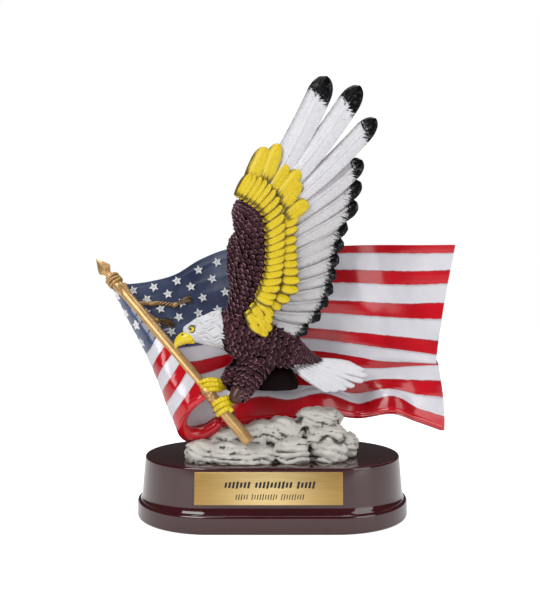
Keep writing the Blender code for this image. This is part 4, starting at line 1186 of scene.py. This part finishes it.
def add_head():
    def locks(u, v):
        grown = min(max((u - 0.16) / 0.25, 0.0), 1.0)
        return -0.00060 * grown * lock_height(u, v)

    # Painted shade in the grooves between the locks
    def hollow(u, v):
        grown = min(max((u - 0.16) / 0.25, 0.0), 1.0)
        return 0.85 * grown * max(lock_height(u, v) - 0.05, 0.0)

    head = add_tube("head_white", scaled(HEAD), 130, 230, depth_share=0.90, dome=0.05, relief=locks,
                    marks={"hollow": hollow})
    for vertex in head.data.vertices:
        ragged = 0.0013 * noise.noise(vertex.co * 420.0) + 0.0012
        back = max(vertex.co.x - neck_edge(vertex.co.z) - ragged, 0.0)
        vertex.co.x -= back * 0.96
    smooth(head, 60.0)
    take_place(head, HEAD_WHITE)
    return head


def add_bill():
    # Painted shade along the line where the bill's mouth closes
    def gape(u, v):
        return 0.5 if abs(v - 0.5) < 0.02 else 0.0

    upper = add_tube("upper", scaled(BILL), 40, 28, depth_share=1.15, dome=0.05, marks={"hollow": gape})
    lower = add_tube("lower", scaled(UNDER_BILL), 20, 18, depth_share=1.3, dome=0.08, marks={"hollow": lambda u, v: 0.1})
    bill = join("bill", [upper, lower])
    smooth(bill, 60.0)
    return take_place(bill, BILL_YELLOW)


def add_ball(name, centre, radius, squash=(1.0, 1.0, 1.0)):
    bpy.ops.object.select_all(action="DESELECT")
    bpy.ops.mesh.primitive_uv_sphere_add(segments=28, ring_count=18, radius=radius, location=centre, scale=squash)
    ball = bpy.context.object
    ball.name = name
    settle(ball)
    smooth(ball, 60.0)
    return ball


def add_eyes(head):
    """Both eyes, set on the head's own skin: dark lid, yellow iris, black pupil and a heavy brow."""
    skin = BVHTree.FromObject(head, bpy.context.evaluated_depsgraph_get())
    lids = []
    irises = []
    for facing in (-1.0, 1.0):
        start = at(-20.45, -11.5, 34.5)
        hit, normal, _, _ = skin.ray_cast(start, Vector((0.0, facing, 0.0)))
        lids.append(add_ball("lid", hit - normal * 0.00100, 0.00196, (1.15, 1.0, 1.0)))
        irises.append(add_ball("iris", hit + normal * 0.00005, 0.00150, (1.2, 1.0, 1.0)))
        lids.append(add_ball("pupil", hit + normal * 0.00095, 0.00088))
        brow = [hit + Vector((-0.0022, 0.0003 * facing, 0.0001)), hit + Vector((-0.0008, 0.0008 * facing, 0.0019)),
                hit + Vector((0.0018, 0.0004 * facing, 0.0019)), hit + Vector((0.0036, -0.0005 * facing, 0.0008))]
        lids.append(add_tube("brow", [(brow[0], 0.00018), (brow[1], 0.00030), (brow[2], 0.00026), (brow[3], 0.00012)],
                             16, 10, dome=0.2))
        nostril_start = at(-22.9, -11.6, 33.1)
        lids.append(add_ball("nostril", nostril_start + Vector((0.0, facing * 0.0034, 0.0)), 0.00055, (1.3, 0.8, 0.8)))
    take_place(join("eye_lids_and_pupils", lids), CLAW_BLACK)
    take_place(join("eye_irises", irises), BILL_YELLOW)


add_eyes(add_head())
add_bill()


# Talons


# Each toe runs from the ankle over the pole and down its left side, where its claw begins
FAR_TOES = [
    [(-12.9, -10.2, 20.5), (-14.4, -12.7, 21.5), (-16.3, -13.5, 21.7), (-18.0, -13.0, 21.1), (-18.8, -12.1, 20.2)],
    [(-12.9, -10.2, 19.6), (-14.1, -13.1, 20.5), (-16.1, -14.0, 20.6), (-17.6, -13.3, 19.9), (-18.4, -12.3, 19.2)],
    [(-13.0, -10.5, 18.7), (-14.1, -13.1, 19.3), (-15.5, -14.1, 19.4), (-16.9, -13.4, 18.9), (-17.6, -12.3, 18.3)],
]
NEAR_TOES = [
    [(-10.9, -12.4, 16.9), (-11.9, -14.7, 17.2), (-13.2, -15.5, 16.8), (-14.5, -15.0, 15.9), (-15.0, -13.8, 15.0)],
    [(-10.8, -12.4, 15.9), (-11.5, -15.0, 16.1), (-12.8, -15.9, 15.6), (-14.1, -15.2, 14.7), (-14.6, -14.0, 13.8)],
    [(-10.7, -12.4, 14.9), (-11.2, -15.0, 14.9), (-12.3, -15.9, 14.3), (-13.4, -15.2, 13.4), (-13.9, -14.0, 12.6)],
    [(-11.6, -14.0, 14.6), (-10.7, -14.9, 14.4), (-10.1, -15.0, 13.8)],
]


def add_talons():
    """Two fists of ringed toes over the pole, their claws, and the near ankle's knob."""
    def rings(u, v):
        return 0.00011 * math.sin(u * 52.0)

    # Painted shade in the grooves between the toe's rings
    def ring_hollow(u, v):
        return 0.40 * max(-math.sin(u * 52.0), 0.0)

    toes = []
    claws = []
    for foot in (FAR_TOES, NEAR_TOES):
        for route in foot:
            points = [at(*point) for point in route]
            radii = [0.00135, 0.00142, 0.00138, 0.00122, 0.00100][:len(points)]
            toes.append(add_tube("toe", list(zip(points, radii)), 44, 16, dome=0.14, relief=rings,
                                 marks={"hollow": ring_hollow}))
            ahead = (points[-1] - points[-2]).normalized()
            tip = points[-1] + ahead * 0.0019 + Vector((0.0004, 0.0009, -0.0004))
            claws.append(add_tube("claw", [(points[-1] - ahead * 0.0004, 0.00080), (points[-1] + ahead * 0.0010, 0.00056),
                                           (tip, 0.00016)], 14, 12, dome=0.12))
    for ankle, foot in ((FAR_LEG[-1][0], FAR_TOES), (NEAR_LEG[-1][0], NEAR_TOES)):
        toes.append(add_tube("pad", [(at(*ankle), 0.0022), (at(*foot[1][0]), 0.0020), (at(*foot[1][1]), 0.0012)], 20, 16,
                             dome=0.2, marks={"hollow": lambda u, v: 0.1}))
    talons = join("talons", toes)
    smooth(talons, 60.0)
    take_place(talons, BILL_YELLOW)
    black = join("claws", claws)
    smooth(black, 60.0)
    take_place(black, CLAW_BLACK)
    knob = add_tube("ankle_knob", [(at(-7.0, -12.0, 20.4), 0.0034), (at(-8.4, -12.9, 18.6), 0.0042),
                                   (at(-9.5, -13.6, 16.9), 0.0037), (at(-10.1, -13.8, 15.8), 0.0022)], 28, 24, dome=0.30)
    smooth(knob, 60.0)
    take_place(knob, KNOB_BROWN)
    # Near-black belly hollow and gap between the legs: partly the black paint under the belly, partly painted shade
    belly = add_tube("belly_hollow", scaled(BELLY), 32, 28, dome=0.15)
    cut_below(belly, at(0.0, 0.0, 18.3).z)
    belly = join("belly_hollow", [belly, add_tube("leg_gap", scaled(LEG_GAP), 24, 20, dome=0.2)])
    smooth(belly, 60.0)
    take_place(belly, UNDER_BLACK_AND_SHADE)


add_talons()


# Wings and tail


NEAR_FLIGHT_ROOTS = [(-3.4, -12.6, 66.0), (-1.4, -12.6, 65.0), (0.4, -12.4, 63.0), (1.4, -12.4, 60.4), (1.8, -12.2, 57.8),
                     (2.0, -12.2, 55.2), (2.0, -12.0, 52.6), (2.0, -12.0, 50.2), (1.8, -11.8, 47.8), (1.2, -11.6, 45.4),
                     (0.4, -11.6, 43.2), (-0.6, -11.4, 41.2), (-2.0, -11.2, 39.4), (-3.6, -11.0, 37.8), (-5.0, -10.8, 36.4)]
NEAR_FLIGHT_TIPS = [(13.9, -9.5, 99.6), (22.4, -9.5, 97.2), (26.5, -9.5, 88.8), (23.0, -9.0, 78.1), (22.6, -8.6, 72.6),
                    (21.6, -8.6, 67.4), (18.9, -8.1, 62.2), (17.5, -8.1, 58.0), (16.6, -8.1, 53.6), (16.1, -7.6, 49.8),
                    (15.4, -7.6, 45.9), (14.3, -7.1, 42.4), (12.4, -7.1, 38.6), (9.2, -6.9, 34.8), (5.2, -6.9, 31.2)]
NEAR_FLIGHT_WIDTHS = [6.4, 5.8, 5.2, 5.2, 5.0, 5.2, 5.2, 5.2, 5.2, 5.2, 5.2, 5.0, 5.0, 5.0, 5.0]
FAR_FLIGHT_ROOTS = [(-4.6, 7.0, 60.0), (-2.0, 6.0, 56.4), (-1.4, 4.6, 50.6), (-1.8, 2.8, 44.4), (-2.4, 0.2, 38.4)]
FAR_FLIGHT_TIPS = [(6.0, 17.0, 84.0), (15.0, 13.6, 79.6), (19.2, 8.6, 68.6), (19.6, 3.8, 58.0), (16.2, 2.6, 49.6),
                   (10.6, 1.0, 40.8), (6.4, -1.0, 34.0)]
FAR_OUTER_ROOTS = [(-5.6, 8.6, 60.8), (-2.8, 7.6, 55.6), (-2.6, 6.0, 49.6), (-3.0, 3.6, 43.0), (-3.6, 1.0, 38.0)]
FAR_OUTER_TIPS = [(-1.0, 12.6, 71.0), (4.4, 9.4, 63.0), (5.0, 7.0, 53.6), (4.4, 4.4, 44.6), (1.6, 1.8, 37.4)]
TAIL_ROOTS = [(11.3, -3.6, 25.8), (9.8, -4.4, 25.4), (8.2, -5.4, 25.0), (6.8, -6.2, 24.7), (5.6, -6.8, 24.3)]
TAIL_TIPS = [(22.0, -1.6, 24.0), (25.0, -2.4, 22.3), (24.2, -3.8, 20.4), (20.8, -5.8, 18.8), (17.8, -7.6, 18.2),
             (14.8, -8.8, 18.2)]

# Yellow coverts of the near wing: six long ones, then scallops in two columns and a cluster under them
LONG_ROOTS = [(-7.0, -13.8, 69.0), (-3.4, -13.8, 68.2), (-1.9, -13.8, 66.9), (-0.4, -13.8, 65.2), (0.6, -13.8, 63.1),
              (1.5, -13.8, 61.4)]
LONG_TIPS = [(-1.8, -13.6, 80.4), (1.4, -13.6, 81.3), (3.5, -13.6, 76.0), (6.6, -13.6, 74.7), (6.8, -13.6, 71.7),
             (8.6, -13.6, 66.8)]
OUTER_ROOTS = [(1.2, -13.6, 60.2), (1.0, -13.6, 56.6), (1.0, -13.6, 53.0), (1.0, -13.6, 49.6), (0.6, -13.6, 45.4),
               (-0.8, -13.6, 42.0)]
OUTER_TIPS = [(6.2, -13.3, 62.6), (5.8, -13.3, 57.6), (6.0, -13.3, 53.3), (6.3, -13.3, 49.3), (6.3, -13.3, 44.6),
              (1.9, -13.3, 40.1)]
INNER_ROOTS = [(-9.0, -14.8, 67.6), (-6.9, -14.8, 66.4), (-4.8, -14.8, 65.1), (-2.7, -14.8, 62.8), (-2.0, -14.8, 58.4),
               (-1.9, -14.8, 55.0), (-2.0, -14.8, 51.7), (-2.5, -14.8, 48.3), (-3.6, -14.8, 45.0), (-4.4, -14.8, 43.5)]
INNER_TIPS = [(-5.7, -14.5, 73.5), (-2.9, -14.5, 72.6), (-0.4, -14.5, 70.6), (1.7, -14.5, 67.0), (2.7, -14.5, 62.2),
              (2.8, -14.5, 57.5), (2.7, -14.5, 53.3), (2.3, -14.5, 49.5), (1.6, -14.5, 45.3), (0.0, -14.5, 41.3)]
LOW_ROOTS = [(-4.2, -14.0, 42.6), (-5.3, -14.2, 41.1), (-2.9, -13.8, 41.1), (-6.3, -14.2, 39.4), (-4.4, -14.0, 39.0),
             (-2.7, -13.7, 38.6), (-5.9, -14.0, 37.3), (-4.2, -13.8, 36.5), (-2.5, -13.4, 36.9)]
LOW_TIPS = [(-1.0, -13.9, 39.2), (-2.4, -14.1, 37.3), (0.0, -13.5, 38.2), (-4.0, -14.2, 35.6), (-1.9, -13.8, 35.2),
            (-0.3, -13.4, 36.5), (-2.9, -13.8, 33.9), (-1.5, -13.4, 33.1), (-0.5, -13.2, 34.4)]


def feather_outline(share, start=0.86):
    """Half width of a feather at a share of its length, from its root to its round tip."""
    rise = 0.62 + 0.38 * math.sin(min(share / 0.55, 1.0) * math.pi / 2.0)
    if share <= start:
        return rise
    within = (share - start) / (1.0 - start)
    return rise * math.sqrt(max(1.0 - within ** 2, 0.0))


RACHIS = ((0.0, 0.00042), (0.06, 0.00010), (0.16, -0.00034), (0.30, -0.00004), (1.0, 0.0))


def rachis_height(side):
    for (first, low), (second, high) in zip(RACHIS, RACHIS[1:]):
        if side <= second:
            return low + (high - low) * (side - first) / (second - first)
    return 0.0


def add_feather(name, root, tip, half_width, back, bow=0.0, barbs=30, tilt=0.0, wall=0.0011, black=None, shaded=0.5,
                round_from=0.86, hidden=0.0, columns=14, coarse=1.0, crowned=0.22, clean=0.0, lean=1.7,
                shafted=0.5):
    """A blade with a ribbed shaft and slanting barbs; its lower edge comes forward over the next by tilt."""
    length = (tip - root).length
    along = (tip - root).normalized()
    across = along.cross(back).normalized()
    out = across.cross(along).normalized()
    crown = crowned * half_width
    rows = barbs * 3

    def spot(u, v):
        side = 2.0 * v - 1.0
        side = math.copysign(abs(side) ** 1.45, side)
        share = 1.0 - (1.0 - u) ** 1.45
        slant = lean * abs(side) * half_width * feather_outline(share, round_from) * math.sqrt(1.0 - share) / length
        return min(share + slant, 1.0), side, share

    def place(u, v):
        reach, side, share = spot(u, v)
        width = half_width * max(feather_outline(reach if abs(side) > 0.99 else share, round_from), 0.0)
        if share < 0.02:
            width = half_width * 0.6
        step = round(u * rows) % 3
        barb = (0.00012, -0.00010, 0.00002)[step] * coarse * min(abs(side) * 4.0, 1.0) * min((1.0 - u) * 12.0, 1.0)
        lift = crown * (1.0 - side ** 2) + 0.03 * length * math.sin(share * math.pi)
        lift += (rachis_height(abs(side)) * min((1.0 - share) * 8.0, 1.0) + barb) - tilt * side
        bowed = bow * length * math.sin(share * math.pi)
        return root + along * length * reach + across * (side * width + bowed) - out * lift

    def barb_mark(u, v):
        return u * barbs

    # Painted shade along the edges that the neighbouring feathers overlap, in the grooves beside the shaft, and at the
    # root where the next row's tips lie over it
    def hollow_mark(u, v):
        reach, side, share = spot(u, v)
        under = max((abs(side + 0.1) - 0.45) / 0.65, 0.0) * shaded * (1.0 if side > 0.0 else 0.8)
        shaft = shafted if 0.08 < abs(side) < 0.22 else 0.0
        rooted = 0.75 * max(1.0 - abs(reach - hidden) / 0.16, 0.0) if hidden else 0.0
        return min(under + shaft * (1.0 - share) ** 0.7 + rooted, 1.0)

    def tip_mark(u, v):
        reach, side, share = spot(u, v)
        if black is None:
            return 0.0
        start, soft = black
        return max((reach - start) / soft - 0.25 * max(side, 0.0) + 0.45 * max(-side, 0.0) * min(reach * 2.0, 1.0), 0.0)

    blade = add_sheet(name, rows, columns, place,
                      {"barb": barb_mark, "hollow": hollow_mark, "tip": tip_mark, "clean": lambda u, v: clean})
    finish_with(blade, "SOLIDIFY", thickness=wall, offset=0.0)
    face_outwards(blade)
    return blade


def add_row(name, roots, tips, widths, back, slot_paint, **settings):
    made = []
    for number, (root, tip, width) in enumerate(zip(roots, tips, widths)):
        own = {key: value[number] if isinstance(value, list) else value for key, value in settings.items()}
        made.append(add_feather(f"{name}_{number:02d}", root, tip, width * HUNDREDTH / 2.0, back, **own))
    row = join(name, made)
    smooth(row, 60.0)
    return take_place(row, slot_paint)


def add_near_wing():
    back = -FRONT
    count = len(NEAR_FLIGHT_TIPS)
    roots = row_points(NEAR_FLIGHT_ROOTS, count)
    tips = row_points(NEAR_FLIGHT_TIPS, count)
    for number in range(count):
        roots[number].y -= 0.0003 * (count - number) - 0.0020
    starts = [(0.80, 0.08), (0.80, 0.09), (0.82, 0.12), (0.80, 0.16)] + [(0.74, 0.22)] * (count - 4)
    add_row("near_flight_upper", roots[:7], tips[:7], NEAR_FLIGHT_WIDTHS[:7], back, FEATHER_WHITE, bow=-0.022,
            barbs=[58, 58, 52, 44, 38, 34, 32], tilt=0.0008, black=starts[:7], shaded=0.55,
            clean=[1.0, 1.0, 0.9, 0.7, 0.5, 0.4, 0.3])
    add_row("near_flight_lower", roots[7:], tips[7:], NEAR_FLIGHT_WIDTHS[7:], back, FEATHER_WHITE, bow=-0.022,
            barbs=28, tilt=0.0012, black=starts[7:], shaded=0.9, clean=0.25, shafted=0.2)
    add_row("near_long_coverts", [at(*root) for root in LONG_ROOTS], [at(*tip) for tip in LONG_TIPS],
            [4.2, 4.0, 3.7, 3.9, 3.8, 4.0], back, FEATHER_YELLOW, barbs=18, tilt=0.0006, wall=0.0012, shaded=0.9,
            round_from=0.68, hidden=0.30, columns=12, coarse=0.8, crowned=0.40)
    add_row("near_outer_coverts", row_points(OUTER_ROOTS, 11), row_points(OUTER_TIPS, 11), [3.1] * 11, back,
            FEATHER_YELLOW, barbs=9, tilt=0.0012, wall=0.0012, shaded=2.3, round_from=0.60, lean=0.4, shafted=0.2, hidden=0.26, columns=10,
            coarse=0.8, crowned=0.6)
    add_row("near_inner_coverts", row_points(INNER_ROOTS, 20), row_points(INNER_TIPS, 20),
            [2.7] * 8 + [3.1] * 12, back, FEATHER_YELLOW, barbs=9, tilt=0.0011, wall=0.0012, shaded=2.6, lean=0.6, shafted=0.2,
            round_from=0.62, hidden=0.12, columns=10, coarse=0.8, crowned=0.6)
    add_row("near_low_coverts", [at(*root) for root in LOW_ROOTS], [at(*tip) for tip in LOW_TIPS], [2.9] * 9, back,
            FEATHER_YELLOW, barbs=7, tilt=0.0006, wall=0.0012, shaded=2.0, lean=0.3, shafted=0.2, round_from=0.50, hidden=0.2, columns=10,
            coarse=0.8, crowned=0.6)


def add_far_wing():
    back = Vector((0.15, 1.0, -0.35)).normalized()
    count = 13
    add_row("far_flight", row_points(FAR_FLIGHT_ROOTS, count), row_points(FAR_FLIGHT_TIPS, count), [5.4] * count, back,
            FEATHER_WHITE, barbs=22, tilt=0.0008, black=(0.78, 0.15), shaded=0.5, columns=12)
    covers = 15
    widths = [3.6 - 0.4 * min(index / 5.0, 1.0) for index in range(covers)]
    add_row("far_coverts", row_points(FAR_OUTER_ROOTS, covers), row_points(FAR_OUTER_TIPS, covers), widths, back,
            FEATHER_YELLOW, barbs=12, tilt=0.0006, wall=0.0012, shaded=0.5, round_from=0.72, hidden=0.3, columns=10)


def add_tail():
    facing = Vector((-0.1, -0.75, 0.65)).normalized()
    add_row("tail", row_points(TAIL_ROOTS, 8), row_points(TAIL_TIPS, 8), [3.7] * 8, -facing, FEATHER_WHITE, barbs=34, coarse=0.4,
            tilt=0.0015, shaded=1.1, round_from=0.74, hidden=0.10, columns=12, clean=1.4, crowned=0.50, shafted=0.1)


add_near_wing()
add_far_wing()
add_tail()


# Floor, light and camera


def add_light(name, place, aim, size, power, tint=(1.0, 1.0, 1.0)):
    data = bpy.data.lights.new(name, "AREA")
    data.shape = "RECTANGLE"
    data.size, data.size_y = size
    data.energy = power
    data.color = tint
    lamp = bpy.data.objects.new(name, data)
    bpy.context.collection.objects.link(lamp)
    lamp.location = place
    lamp.rotation_euler = (Vector(aim) - Vector(place)).to_track_quat("-Z", "Y").to_euler()


def add_studio():
    bpy.ops.object.select_all(action="DESELECT")
    bpy.ops.mesh.primitive_plane_add(size=6.0, location=(0.0, 0.0, -0.0002))
    floor = bpy.context.object
    floor.name = "studio_floor"
    settle(floor)
    made, nodes, inputs = new_paint("Studio floor", 0.6, specular=0.1)
    pale = nodes.blend(nodes.noise(nodes.coordinates(), 3.0), (0.93, 0.93, 0.93, 1.0), (0.95, 0.95, 0.95, 1.0))
    nodes.feed(inputs["Base Color"], pale)
    inputs["Emission Color"].default_value = (1.0, 1.0, 1.0, 1.0)
    seen = nodes.put("ShaderNodeLightPath").outputs["Is Camera Ray"]
    nodes.feed(inputs["Emission Strength"], nodes.maths("MULTIPLY", seen, 0.80))
    floor.data.materials.append(made)
    world = bpy.data.worlds.new("Studio")
    world.use_nodes = True
    sky = Nodes(world.node_tree)
    seen = sky.put("ShaderNodeLightPath").outputs["Is Camera Ray"]
    shiny = sky.put("ShaderNodeLightPath").outputs["Is Glossy Ray"]
    background = world.node_tree.nodes["Background"]
    background.inputs[0].default_value = (1.0, 1.0, 1.0, 1.0)
    strength = sky.maths("MULTIPLY_ADD", shiny, -0.36, 0.40)
    sky.feed(background.inputs[1], sky.maths("MAXIMUM", strength, seen))
    bpy.context.scene.world = world
    add_light("key", (-0.42, -0.62, 0.62), (0.0, 0.0, 0.11), (0.50, 0.60), 4.2)
    add_light("fill", (0.66, -0.55, 0.30), (0.0, 0.0, 0.10), (0.45, 0.60), 1.7)
    add_light("top", (0.0, 0.10, 0.85), (0.0, 0.0, 0.10), (0.60, 0.35), 2.2)


def add_camera():
    data = bpy.data.cameras.new("photo_view")
    data.sensor_fit = "VERTICAL"
    data.sensor_height = 36.0
    data.lens = 42.63
    data.clip_start = 0.01
    camera = bpy.data.objects.new("photo_view", data)
    bpy.context.collection.objects.link(camera)
    camera.location = (-0.0013, -0.4122, 0.1185)
    camera.rotation_euler = (math.radians(90.0), 0.0, 0.0)
    bpy.context.scene.camera = camera
    bpy.context.scene.view_settings.view_transform = "Standard"


add_studio()
add_camera()
